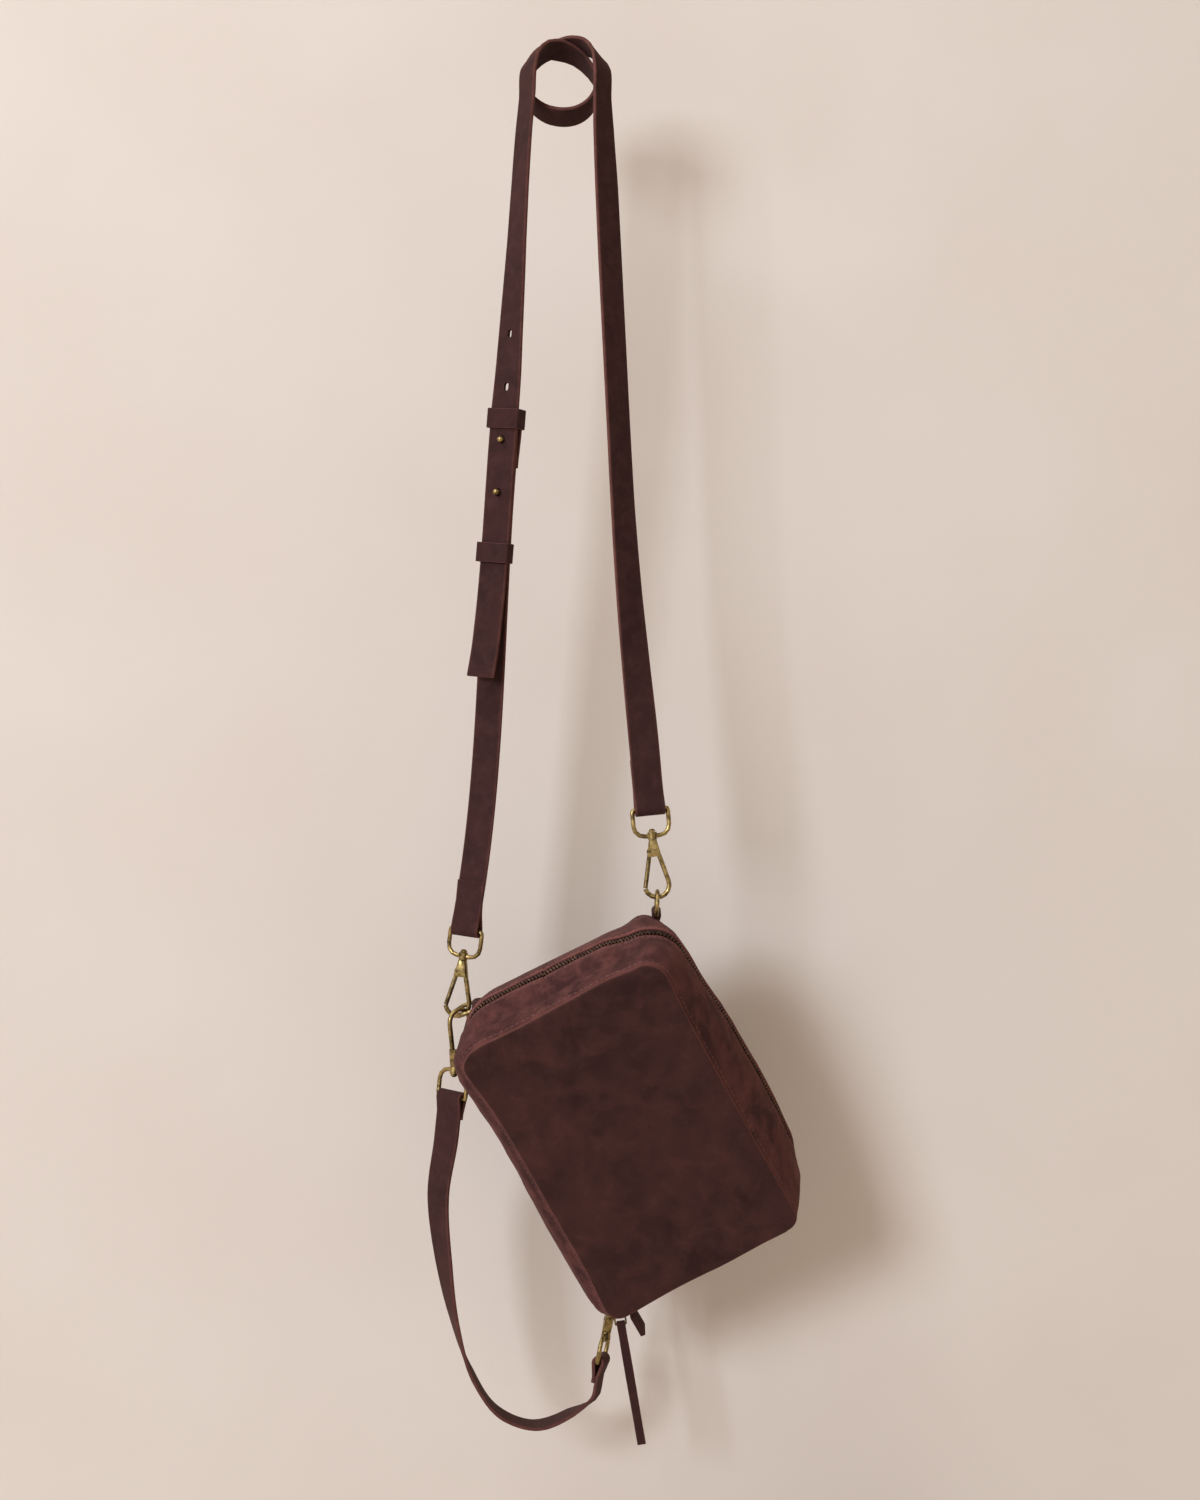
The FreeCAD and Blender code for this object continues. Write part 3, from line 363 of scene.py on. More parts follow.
def strapPiece(name, stations, width, thick, spacing, edge=leatherEdge["round"]):
    # flat leather strip with slightly rounded cut edges; rub marks the raw edges
    half, deep = width / 2, thick / 2
    edge = min(edge, deep * leatherEdge["most"])
    corner = edge * leatherEdge["corner"]
    flat, rounded, cut = leatherEdge["wear"]
    profile = [(half * share, deep, 0.0) for share in leatherEdge["flats"]]
    profile += [(half - edge, deep, flat), (half - corner, deep - corner, rounded), (half, deep - edge, cut)]
    profile += [(half, 0.0, cut)] + [(x, -n, worn) for x, n, worn in reversed(profile)]
    profile += [(-x, n, worn) for x, n, worn in reversed(profile[1:-1])]
    path = smoothPath(stations, spacing)
    points = []
    for i, (centre, face) in enumerate(path):
        onward = (path[min(i + 1, len(path) - 1)][0] - path[max(i - 1, 0)][0]).normalized()
        face = (face - onward * face.dot(onward)).normalized()
        side = onward.cross(face)
        points += [centre + side * x + face * n for x, n, worn in profile]
    rub = [worn for x, n, worn in profile] * len(path)
    return makePiece(name, points, ringFaces(len(profile), len(path), capped=True), strapSuede, rub,
                     sharpAngle=70.0)


def strapAxes(up, normal):
    z = Vector(up).normalized()
    y = Vector(normal)
    return (y - z * y.dot(z)).normalized(), z


def foldStations(bar, up, normal, barRadius, thick, backTop, frontTop=None):
    # down the front layer, round the bar and up behind it
    y, z = strapAxes(up, normal)
    inner, half = barRadius + foldedEnd["play"], thick / 2
    turn, meet = inner + half, foldedEnd["meet"] * (inner + thick)
    stations = [(bar + y * half + z * frontTop, y)] if frontTop else []
    stations.append((bar + y * half + z * meet, y))
    start = atan2(meet, half) - acos(turn / hypot(meet, half))
    sweep = 2 * start + pi
    for i in range(foldedEnd["steps"] + 1):
        a = start - sweep * i / foldedEnd["steps"]
        out = y * cos(a) + z * sin(a)
        stations.append((bar + out * turn, out))
    return stations + [(bar - y * half + z * meet, -y), (bar - y * half + z * backTop, -y)]


def cutHoles(piece, marks, width, height, depth, sides=20):
    # upright slots with round ends; marks are (centre, up, outward)
    points, faces = [], []
    for centre, up, outward in marks:
        y, z = strapAxes(up, outward)
        x = y.cross(z)
        faces += ringFaces(sides, 2, len(points), capped=True)
        for reach in (-depth, depth):
            for i in range(sides):
                a = tau * (i + 0.5) / sides
                lift = copysign((height - width) / 2, sin(a))
                points.append(centre + y * reach + x * (cos(a) * width / 2)
                              + z * (sin(a) * width / 2 + lift))
    cutter = makePiece("hole punch", points, faces, strapSuede, [1.0] * len(points))
    cut = piece.modifiers.new("holes", "BOOLEAN")
    cut.operation, cut.object, cut.solver = "DIFFERENCE", cutter, "EXACT"
    graph = bpy.context.evaluated_depsgraph_get()
    made = bpy.data.meshes.new_from_object(piece.evaluated_get(graph))
    piece.modifiers.clear()
    piece.data = made
    bpy.data.objects.remove(cutter)
    made.shade_smooth()
    made.set_sharp_from_angle(angle=radians(70.0))


def cadForm(node, weld, flat):
    # the CAD part's mesh with its points welded and its flat faces made whole
    form = bmesh.new()
    form.from_mesh(nodes[node].data)
    bmesh.ops.remove_doubles(form, verts=form.verts, dist=weld)
    bmesh.ops.dissolve_limit(form, angle_limit=radians(flat), verts=form.verts, edges=form.edges)
    return form


softCut = {"weld": 0.01 * mm, "flat": 2.0, "sharp": 38.0, "segments": 2, "profile": 0.6, "wear": 0.6,
           "shade": 50.0}


def softCopy(name, node, material, bevel):
    # the CAD solid's own shape with its cut edges softened
    form = cadForm(node, softCut["weld"], softCut["flat"])
    sharp = [e for e in form.edges
             if len(e.link_faces) == 2 and e.calc_face_angle() > radians(softCut["sharp"])]
    made = bmesh.ops.bevel(form, geom=sharp, offset=bevel, segments=softCut["segments"],
                           profile=softCut["profile"], affect="EDGES", clamp_overlap=True)
    form.faces.index_update()
    worn = {face.index for face in made["faces"] if face.is_valid}
    mesh = bpy.data.meshes.new(name)
    form.to_mesh(mesh)
    form.free()
    mesh.attributes.new("rub", "FLOAT", "FACE").data.foreach_set(
        "value", [softCut["wear"] * (i in worn) for i in range(len(mesh.polygons))])
    return finished(name, mesh, material, softCut["shade"])


def place(piece, body, slot, *stands):
    if stands:
        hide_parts(*stands)
    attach(piece, body)
    return piece


# ---- bag body: two lofted suede shells that meet at the zip
bag = {"centre": (0.04683661, 0.03599302, -0.67997352), "roll": 27.5, "pitch": 17.0, "width": 138 * mm,
       "height": 202 * mm, "depth": 80 * mm, "crown": 6 * mm, "wall": 2.2 * mm, "zipLine": -35 * mm,
       "zipWindow": 5.2 * mm, "zipFeet": (-85 * mm, -91 * mm),
       "corners": (9 * mm, 10 * mm, 14 * mm, 8.5 * mm), "seam": -8 * mm,
       "seamSteps": (-2.2, -1.2, -0.6, 0.0, 0.6, 1.2, 2.2)}
# how far the soft body gives outwards from the flat pattern, in mm, by depth behind the front
giveByDepth = {
    "left": [(-80, 4.5), (-77, 5.5), (-70, 11), (-60, 14), (-50, 10), (-44, 3), (-41, 0), (-29, 0),
             (-24, 5), (-14, 6), (-6, 3), (0, 1)],
    "right": [(-80, -0.5), (-76, 0), (-66, 3), (-52, 7), (-35, 10.5), (-20, 10.5), (-8, 7), (0, 4.5)],
    "top": [(-80, 6.3), (-66, 7), (-45, 8.5), (-33, 9.5), (-14, 9), (0, 8)],
    "foot": [(-80, 7.3), (-70, 5.5), (-45, 0.5), (-40, 0), (0, 0)]}
# and what share of that it gives by place along the side, in mm from its middle
shareByPlace = {
    "left": [(-101, 0.85), (-85, 0.9), (-47, 0.96), (-20, 0.95), (10, 0.82), (40, 0.8), (60, 0.87),
             (80, 0.9), (92, 0.65), (101, 0.4)],
    "right": [(-101, -0.2), (-88, 0.4), (-66, 0.85), (-40, 1.05), (-15, 1.05), (20, 1.0), (65, 0.7),
              (101, 0.5)],
    "top": [(-69, 0.45), (-50, 0.95), (0, 1.0), (33, 1.0), (52, 0.6), (69, 0.35)],
    "foot": [(-69, 1.35), (0, 1.0), (53, 0.6), (69, 0.3)]}
# the front seam runs a little downhill to the left: its rise at the corners, the depth it starts at
# and the depth it takes, in mm
downhill = {"rise": 3.4, "start": 45, "over": 35}
# corners drawn out by the seams and the tabs, in mm: place in the flat pattern, reach, and movement
# to the side and up
drawn = (((-69, -80, 101), 24, (-5.0, 2.5)), ((64, -80, 101), 24, (2.0, 0.5)),
         ((71, 4, 100), 21, (-0.5, 8.5)), ((-69, -80, -101), 26, (-3.5, -2.5)))
# unevenness of the gusset, which is held at the panel seams, and the dip of its upper face
slack = {"wide": (1.0 * mm, 34.0), "fine": (0.45 * mm, 85.0), "heldOver": 9 * mm, "heldPower": 0.8,
         "flatHalf": 5 * mm, "flatFade": 7 * mm, "dip": 3.0 * mm, "dipDepth": -60 * mm,
         "dipOver": 16 * mm, "dipReach": 0.55, "groove": 0.7 * mm, "grooveHalf": 0.9 * mm}
bagPlace = (Matrix.Translation(bag["centre"]) @ Matrix.Rotation(radians(bag["pitch"]), 4, "X")
            @ Matrix.Rotation(radians(-bag["roll"]), 4, "Y"))


def bagPoint(x, y, z):
    return bagPlace @ Vector((x, y, z))


def bagDirection(x, y, z):
    return (bagPlace.to_3x3() @ Vector((x, y, z))).normalized()


def readTable(pairs, x):
    for (x0, v0), (x1, v1) in zip(pairs, pairs[1:]):
        if x <= x1:
            t = max(0.0, (x - x0) / (x1 - x0))
            return v0 + (v1 - v0) * (3 * t * t - 2 * t ** 3)
    return pairs[-1][1]


def crownAt(depth):
    k = (-depth - bag["wall"]) / (bag["depth"] - 2 * bag["wall"])
    return bag["crown"] * (1 - (2 * k - 1) ** 2)


def rim(closed, spacing=5 * mm, cornerSteps=10):
    # outline points, clockwise from the foot of the left side: (x, z, outward angle); open, it stops
    # where the zip does
    halfW, halfH = bag["width"] / 2, bag["height"] / 2
    signs = ((-1, -1), (-1, 1), (1, 1), (1, -1))
    cores = [(sx * (halfW - r), sz * (halfH - r), r) for (sx, sz), r in zip(signs, bag["corners"])]
    stations = []
    for k in range(4 if closed else 3):
        (ax, az, ar), (bx, bz, br) = cores[k], cores[(k + 1) % 4]
        angle = radians(180 - 90 * k)
        nx, nz = round(cos(angle)), round(sin(angle))
        start, stop = (ax + nx * ar, az + nz * ar), (bx + nx * br, bz + nz * br)
        if not closed and k == 0:
            start = (start[0], bag["zipFeet"][0])
        if not closed and k == 2:
            stop = (stop[0], bag["zipFeet"][1])
        count = round(dist(start, stop) / spacing)
        for i in range(count + 1):
            stations.append((start[0] + (stop[0] - start[0]) * i / count,
                             start[1] + (stop[1] - start[1]) * i / count, angle))
            if k == 1 and i < count:
                # extra stations beside the piecing seam keep its groove crisp
                for step in bag["seamSteps"]:
                    at = bag["seam"] + step * mm
                    if stations[-1][0] < at < start[0] + (stop[0] - start[0]) * (i + 1) / count:
                        stations.append((at, start[1], angle))
        if closed or k < 2:
            for i in range(1, cornerSteps):
                turn = angle - pi / 2 * i / cornerSteps
                stations.append((bx + cos(turn) * br, bz + sin(turn) * br, turn))
    return stations


def warp(x, z, depth):
    # carries a point of the flat pattern to the slack, bulging body
    d, xs, zs = depth / mm, x / (bag["width"] / 2), z / (bag["height"] / 2)
    side, end = ("left" if x < 0 else "right"), ("top" if z > 0 else "foot")
    sideways, upwards = (readTable(giveByDepth[way], d) * readTable(shareByPlace[way], at / mm)
                         * min(1.0, abs(far)) ** 3 for way, at, far in ((side, z, xs), (end, x, zs)))
    if z > 0:
        front = max(0.0, (-d - downhill["start"]) / downhill["over"])
        upwards += downhill["rise"] * max(-1.0, min(1.0, xs)) * front * zs ** 3
    newX, newZ = x + sideways * (mm if x > 0 else -mm), z + upwards * (mm if z > 0 else -mm)
    for (cx, cy, cz), span, (moveX, moveZ) in drawn:
        near = exp(-((x / mm - cx) ** 2 + (d - cy) ** 2 + (z / mm - cz) ** 2) / span ** 2)
        newX, newZ = newX + moveX * near * mm, newZ + moveZ * near * mm
    return newX, newZ


def sag(x, z, angle, depth):
    # how far the gusset's face stands out or in; the left run of the zip stays flat for the slider
    toSeam = min(-depth - bag["wall"], bag["depth"] - bag["wall"] + depth)
    held = max(0.0, min(1.0, toSeam / slack["heldOver"])) ** slack["heldPower"]
    flat = max(0.0, -cos(angle)) ** 2
    clear = max(0.0, abs(depth - bag["zipLine"]) - slack["flatHalf"]) / slack["flatFade"]
    held *= 1 - flat * (1 - min(1.0, clear))
    (wide, wideScale), (fine, fineScale) = slack["wide"], slack["fine"]
    spot = Vector((x, depth, z))
    lift = wide * noise.noise(spot * wideScale) + fine * noise.noise(spot * fineScale + Vector((3, 1, 2)))
    upper = max(0.0, sin(angle)) ** 4
    front = max(0.0, 1 - abs(depth - slack["dipDepth"]) / slack["dipOver"])
    lift -= slack["dip"] * upper * front * (1 - (x / (slack["dipReach"] * bag["width"])) ** 2)
    if upper > 0.9:
        lift -= slack["groove"] * exp(-((x - bag["seam"]) / slack["grooveHalf"]) ** 2)
    return lift * held


def skinPoint(station, depth, inset):
    x, z, angle = station
    r = crownAt(depth) - inset + sag(x, z, angle, depth)
    x, z = warp(x + cos(angle) * r, z + sin(angle) * r, depth)
    return x, depth, z


def loftRim(name, profile, stations, closed, material):
    # profile is a closed loop of (depth, inset from the gusset's outer face, share of rubbed nap and painted
    # highlight)
    points = [skinPoint(station, depth, inset) for station in stations for depth, inset, worn in profile]
    rub = [worn for station in stations for depth, inset, worn in profile]
    faces = ringFaces(len(profile), len(stations), closed=closed, capped=not closed)
    return makePiece(name, points, faces, material, rub, bagPlace)


# rows across a gusset: mm from the edge, mm of inset, and the share of rubbed nap and painted highlight;
# a turned edge beside the zip, and the roll down into the panel seam
gusset = {"zipRows": [(0.15, 1.5, 0.5), (0.05, 0.8, 0.75), (0.35, 0.25, 0.9), (1.0, 0.0, 0.6),
                      (1.9, 0.1, 0.15), (2.6, 0.35, 0.1), (3.3, 0.1, 0.15), (5.0, 0.0, 0.05)],
          "seamRows": [(4.2, 0.0, 0.0), (2.8, 0.05, 0.0), (1.7, 0.15, 0.1), (0.8, 0.45, 0.3),
                       (0.25, 1.0, 0.45), (0.1, 1.9, 0.1)], "pitch": 3 * mm, "thick": 1.9 * mm}


def gussetProfile(zipEdge, seamEdge):
    toSeam = 1 if seamEdge > zipEdge else -1
    first, last = gusset["zipRows"][-1][0] * mm, gusset["seamRows"][0][0] * mm
    middle = abs(seamEdge - zipEdge) - first - last
    steps = round(middle / gusset["pitch"])
    profile = [(zipEdge + toSeam * away * mm, inset * mm, worn) for away, inset, worn in gusset["zipRows"]]
    profile += [(zipEdge + toSeam * (first + middle * i / steps), 0.0, 0.0) for i in range(1, steps)]
    profile += [(seamEdge - toSeam * away * mm, inset * mm, worn)
                for away, inset, worn in gusset["seamRows"]]
    return profile + [(depth, gusset["thick"], 0.0) for depth, inset, worn in reversed(profile[2:-2])]


# the panel's rings step in from the seam, then shrink to its spine; uneven is height and scale
panel = {"spacing": 4.5 * mm, "cornerSteps": 8, "steps": (0.0, 0.3, 0.8, 1.5, 2.3, 3.2, 4.8, 7.0),
         "shrinking": 13, "roll": 2.4 * mm, "groove": 1.2 * mm, "swellPower": 0.6, "wide": (0.8 * mm, 26.0),
         "fine": (0.35 * mm, 64.0), "wear": 0.65, "wornAt": 0.3 * mm, "wornOver": 0.9 * mm,
         "thick": 1.8 * mm}


def panelPiece(name, shell):
    # crowned panel in rings that follow the seam
    stations = rim(True, panel["spacing"], panel["cornerSteps"])
    edge = panel["steps"][-1] * mm
    rings = [(step * mm, 1.0) for step in panel["steps"]]
    rings += [(edge, 1 - i / panel["shrinking"]) for i in range(1, panel["shrinking"])]
    spine = bag["height"] / 2 - bag["width"] / 2
    (wide, wideScale), (fine, fineScale) = panel["wide"], panel["fine"]
    face, side = shell["face"], shell["side"]
    points, rub = [], []
    for inset, scale in rings:
        roll = max(0.0, 1 - inset / panel["roll"])
        down = panel["groove"] * (1 - sqrt(1 - roll * roll))
        # the seam's rolled edge is drawn paler: rubbed nap there and a painted highlight on its crest
        worn = max(0.0, panel["wear"] - abs(inset - panel["wornAt"]) / panel["wornOver"])
        for px, pz, angle in stations:
            x, z = px - cos(angle) * inset, pz - sin(angle) * inset
            heart = max(-spine, min(spine, z))
            x, z = x * scale, heart + (z - heart) * scale
            inX, inZ = 1 - (x / (bag["width"] / 2)) ** 2, 1 - (z / (bag["height"] / 2)) ** 2
            spot = Vector((x, 0.1, z))
            lift = wide * noise.noise(spot * wideScale) + fine * noise.noise(spot * fineScale)
            rise = shell["swell"] * max(0.0, inX * inZ) ** panel["swellPower"]
            rise += lift * shell["uneven"] * inset / edge
            warpedX, warpedZ = warp(x, z, face)
            points.append((warpedX, face + side * (rise - down), warpedZ))
            rub.append(worn if scale == 1.0 else 0.0)
    size = len(stations)
    piece = makePiece(name, points, ringFaces(size, len(rings)), bagSuede, rub, bagPlace)
    form = bmesh.new()
    form.from_mesh(piece.data)
    form.verts.ensure_lookup_table()
    last = set(form.verts[-size:])
    heartEdges = [e for e in form.edges if e.verts[0] in last and e.verts[1] in last]
    bmesh.ops.triangle_fill(form, edges=heartEdges, use_beauty=True)
    bmesh.ops.recalc_face_normals(form, faces=form.faces)
    form.to_mesh(piece.data)
    form.free()
    piece.data.shade_smooth()
    middle = sum((p.normal * p.area for p in piece.data.polygons), Vector())
    if middle.dot(bagDirection(0, side, 0)) < 0:
        piece.data.flip_normals()
    body = piece.modifiers.new("leather thickness", "SOLIDIFY")
    body.thickness, body.offset = panel["thick"], -1.0
    return piece


# side is 1 for the back shell and -1 for the front; zip and seam are its gusset's two edges
shells = {"front": {"side": -1, "zip": bag["zipLine"] - bag["zipWindow"], "seam": bag["wall"] - bag["depth"],
                    "face": -bag["depth"], "swell": 2.6 * mm, "uneven": 1.0},
          "back": {"side": 1, "zip": bag["zipLine"] + bag["zipWindow"], "seam": -bag["wall"],
                   "face": 0.0, "swell": 0.2 * mm, "uneven": 0.35}}
for word, shell in shells.items():
    place(panelPiece(word + "_panel_suede", shell), "bag_" + word, "suede_leather", word + "_panel")
for word, shell in shells.items():
    place(loftRim(word + "_gusset_suede", gussetProfile(shell["zip"], shell["seam"]), rim(True), True,
                  gussetSuedePaintedLight), "bag_" + word, "suede_leather", word + "_gusset")

# the uncut strip under the bag joins the two gussets and acts as the hinge; its ends turn up the corners,
# and a flap inside the front gusset keeps the joint closed when the bag is open
fold = {"overlap": 0.3 * mm, "flap": 2.6 * mm, "outer": 0.15 * mm, "flapOuter": 2.05 * mm, "inner": 2.6 * mm,
        "turnUp": 8 * mm, "rows": 6}
foldStart, foldEnd = shells["back"]["zip"], shells["front"]["zip"] + fold["overlap"]
flapTip = shells["front"]["zip"] - fold["flap"]
foldRows = [foldStart + (foldEnd - foldStart) * i / fold["rows"] for i in range(fold["rows"] + 1)]
foldProfile = [(y, fold["outer"], 0.0) for y in foldRows]
foldProfile += [(y, fold["flapOuter"], 0.0) for y in (foldEnd, flapTip)] + [(flapTip, fold["inner"], 0.0)]
foldProfile += [(y, fold["inner"], 0.0) for y in reversed(foldRows)]
foldRun = [station for station in rim(True) if station[1] < fold["turnUp"] - bag["height"] / 2]
firstRight = next(i for i, station in enumerate(foldRun) if station[0] > 0)
foldRun = foldRun[firstRight:] + foldRun[:firstRight]
place(loftRim("base_fold_suede", foldProfile, foldRun, False, gussetSuedePaintedLight), "bag_back", "suede_leather",
      "base_fold")
print("bag shells ready")


# ---- sewing
# form is each ring of a stitch: share of its length, rise and width
stitching = {"length": 3.0 * mm, "gap": 0.9 * mm, "thread": 0.5 * mm, "sink": 0.224 * mm, "sides": 6,
             "form": ((0.0, -1.0, 0.55), (0.22, 0.1, 0.95), (0.78, 0.1, 0.95), (1.0, -1.0, 0.55))}


def stitchRow(name, path):
    # path is (point, outward) in the part's frame; each stitch dips into the leather at both ends
    points, faces = [], []
    length, pointAt = walk(path)
    sides, radius = stitching["sides"], stitching["thread"] / 2
    pitch = stitching["length"] + stitching["gap"]
    for n in range(int(length / pitch)):
        start = n * pitch + stitching["gap"] / 2
        a, out, _ = pointAt(start)
        b = pointAt(start + stitching["length"])[0]
        side = (b - a).normalized().cross(out).normalized()
        faces += ringFaces(sides, len(stitching["form"]), len(points), capped=True)
        for f, lift, wide in stitching["form"]:
            centre = a.lerp(b, f) + out * (lift * stitching["sink"] + stitching["thread"] * 0.12)
            for q in (tau * j / sides for j in range(sides)):
                points.append(centre + (side * cos(q) + out * sin(q)) * (radius * wide))
    return makePiece(name, points, faces, thread, sharpAngle=60.0)


def rimRow(depth, closed, inset):
    # a path round the skin at one depth, as (point, outward)
    path = [(bagPoint(*skinPoint((x, z, angle), depth, inset)),
             bagDirection(cos(angle), 0, sin(angle))) for x, z, angle in rim(closed, 3 * mm, 12)]
    return path + path[:1] if closed else path


# the edge that each row follows, how far from it, whether it goes all round, and how deep it sinks
sewnRows = ("seam", -2.3 * mm, True, 0.16 * mm), ("zip", 2.6 * mm, False, 0.3 * mm)
for word, shell in shells.items():
    for edge, away, closed, inset in sewnRows:
        row = rimRow(shell[edge] + shell["side"] * away, closed, inset)
        place(stitchRow("%s_%s_stitches" % (word, edge), row), "bag_" + word, "suede_leather")
print("seams sewn")


# ---- zip: woven tapes, separate teeth, and the tail past the lower corner
# toothForm is each level of a tooth: mm above the tape, and share of its size
zipper = {"tapeReach": 8 * mm, "tapeInset": 2.5 * mm, "tapeThick": 0.8 * mm, "tapeEdge": 0.6 * mm,
          "tapeBead": 0.25 * mm, "gap": 1.2 * mm, "toothPitch": 2.3 * mm, "toothAlong": 1.35 * mm,
          "toothGap": 0.34 * mm, "toothWide": 2.1 * mm, "lastTooth": 0.3,
          "toothForm": ((-0.1, 1.0), (1.332, 1.0), (1.85, 0.72)), "tailTop": 85.3 * mm,
          "tailEnd": 140 * mm, "tailRows": (0.6, 2.6, 4.8), "tailSteps": 16, "tailRipple": 0.25 * mm,
          "tailTeeth": (1.0, 15.0, 30.0, 43.0)}


def tapeProfile(side):
    inner = bag["zipLine"] + side * zipper["gap"] / 2
    outer = bag["zipLine"] + side * zipper["tapeReach"]
    top = zipper["tapeInset"]
    rows = [inner, inner + side * zipper["tapeEdge"], (inner + outer) / 2, outer]
    return ([(inner, top - zipper["tapeBead"], 0.0)] + [(y, top, 0.0) for y in rows[1:]]
            + [(y, top + zipper["tapeThick"], 0.0) for y in reversed(rows)])


def toothRow(name, path, side):
    # stamped brass teeth clenched on the tape's edge; the two rows mesh half a pitch apart
    across = bagDirection(0, 1, 0) * side
    corners = ((-0.5, 0), (0.5, 0), (0.5, 1), (-0.5, 1))
    points, faces = [], []
    length, pointAt = walk(path)
    pitch = zipper["toothPitch"]
    s = pitch * (0.5 if side > 0 else 1.0)
    while s < length - pitch * zipper["lastTooth"]:
        centre, out, onward = pointAt(s)
        faces += ringFaces(len(corners), len(zipper["toothForm"]), len(points), capped=True)
        for rise, size in zipper["toothForm"]:
            for u, v in corners:
                w = zipper["toothGap"] + zipper["toothWide"] * (0.5 + (v - 0.5) * size)
                points.append(centre + onward * (u * zipper["toothAlong"] * size) + across * w
                              + out * (rise * mm))
        s += pitch
    return makePiece(name, points, faces, brassTeeth, sharpAngle=30.0)


def tailTape():
    points, faces = [], []
    top, foot = -zipper["tailTop"], -zipper["tailEnd"]
    count, under = zipper["tailSteps"], tailFace + zipper["tapeThick"]
    for side in (-1, 1):
        rows = [bag["zipLine"] + side * row * mm for row in zipper["tailRows"]]
        faces += ringFaces(2 * len(rows), count + 1, len(points), capped=True)
        for i in range(count + 1):
            z = top + (foot - top) * i / count
            # only the outer edge ripples
            ripple = zipper["tailRipple"] * noise.noise(Vector((side, 0.3, z * 90)))
            ring = [(tailFace, y) for y in rows] + [(under, y) for y in reversed(rows)]
            points += [bagPoint(x + ripple * (y == rows[-1]), y, z) for x, y in ring]
    return makePiece("zip_tail_tape", points, faces, tapeCloth)


zipPath = rimRow(bag["zipLine"], False, zipper["tapeInset"])
tailFace = zipper["tapeInset"] - bag["width"] / 2 - crownAt(bag["zipLine"])
tailPath = [(bagPoint(tailFace, bag["zipLine"], -zipper["tailTop"] - step * mm), bagDirection(-1, 0, 0))
            for step in zipper["tailTeeth"]]
for word, shell in reversed(shells.items()):
    side, body = shell["side"], "bag_" + word
    tape = loftRim("zip_tape_%s_cloth" % word, tapeProfile(side), rim(False), False, tapeCloth)
    place(tape, body, "zip_tape", "zip_tape_" + word)
    place(toothRow("zip_teeth_%s_stamped" % word, zipPath, side), body, "zip_teeth", "zip_teeth_" + word)
    tailRow = toothRow("zip_tail_teeth_" + word, tailPath, side)
    place(tailRow, "bag_back", "zip_teeth", *(["zip_tail_teeth"] if side > 0 else []))
place(tailTape(), "bag_back", "zip_tape", "zip_tail")
place(softCopy("zip_end_tab_leather", "zip_end_tab", strapSuede, 0.45 * mm), "bag_back", "strap_leather",
      "zip_end_tab")
print("zip ready")


# ---- straps
# the long strap's stations are the drop and stand-off of its tail, then a place in mm and the way it
# faces, up to the peg on the left and down from it on the right
strap = {"width": 20 * mm, "thick": 2.4 * mm, "gap": 0.3 * mm, "fold": 33 * mm, "bar": 2.0 * mm,
         "holePitch": 35 * mm, "holeWidth": 3.4 * mm, "holeHeight": 5.6 * mm, "holeTurns": (-32, -41),
         "shortTop": (-0.038, -0.004, -0.224), "leftBar": (-0.0665, 0.013, -0.571), "leftTurn": -25,
         "rightBar": (0.0563, -0.008, -0.489), "rightTurn": 8, "rightUp": (-0.094, 0, 0.9956),
         "rightLead": (47, 36), "studDrop": 20 * mm, "shortLead": 40 * mm, "shortTuck": 38 * mm,
         "tail": ((178, 5), (160, 1.6), (142, 0), (20, 0), (0, 0)),
         "rise": ((-37.6, -7.6, -200, -32), (-36, -8.3, -176, -39), (-33.9, -9.2, -145, -46),
                  (-31.8, -10.2, -112, -53), (-29.6, -11, -76, -57), (-26.9, -11.6, -38, -59),
                  (-24.9, -11.4, -17, -60)),
         "fall": ((24.9, -11.5, -17, 58), (25.7, -11.7, -38, 52), (27.7, -11, -77, 45),
                  (30, -9.8, -125, 43), (32.8, -8.3, -180, 43), (35.6, -6.8, -235, 43),
                  (38.6, -6.6, -290, 41), (42.6, -6.8, -345, 34), (47.6, -7.4, -398, 22))}
# in mm and degrees; slack is how far the strap stands off the peg, and cone how it splays, by turn
wrap = {"peg": 16.5, "tilt": 18, "shift": 10.9, "step": 15, "stop": 540,
        "slack": [(0, 5.6), (45, 1.6), (90, 0), (135, 1), (180, 3.5), (270, 7), (315, 8),
                  (360, 10.5), (405, 8.5), (450, 3.6), (495, 4.2), (540, 6.5)],
        "cone": [(0, 33), (50, 10), (90, 0), (450, 0), (490, 10), (540, 33)]}


def heading(turn):
    return Vector((sin(radians(turn)), -cos(radians(turn)), 0.0))


def wrapStations():
    # one and a half turns round the peg: over it, under it, and over it again
    tilt = radians(wrap["tilt"])
    tip, up = Vector((0, -cos(tilt), sin(tilt))), Vector((0, sin(tilt), cos(tilt)))
    seated = wrap["peg"] + strap["thick"] / mm / 2 + strap["gap"] / mm
    stations = []
    for turn in range(0, wrap["stop"] + 1, wrap["step"]):
        # outer side of the peg on the first half turn, inner side below, and out again on the last
        lean = min(turn, 180) if turn <= 360 else turn - 180
        shift = wrap["shift"] * cos(radians(lean))
        theta = radians(180 - turn)
        out = Vector((cos(theta), 0, 0)) + up * sin(theta)
        k = radians(readTable(wrap["cone"], turn))
        r = seated + readTable(wrap["slack"], turn)
        stations.append(((out * r + tip * shift) * mm, out * cos(k) + tip * sin(k)))
    return stations


shortTop, leftBar, rightBar = (Vector(strap[k]) for k in ("shortTop", "leftBar", "rightBar"))
leftDown = (leftBar - shortTop).normalized()
leftFace, leftUp = strapAxes(-leftDown, heading(strap["leftTurn"]))
shortLength = (leftBar - shortTop).length
frontOffset = strap["thick"] * 1.5 + strap["gap"]


def leftPoint(drop, offset):
    return shortTop + leftDown * drop + leftFace * offset


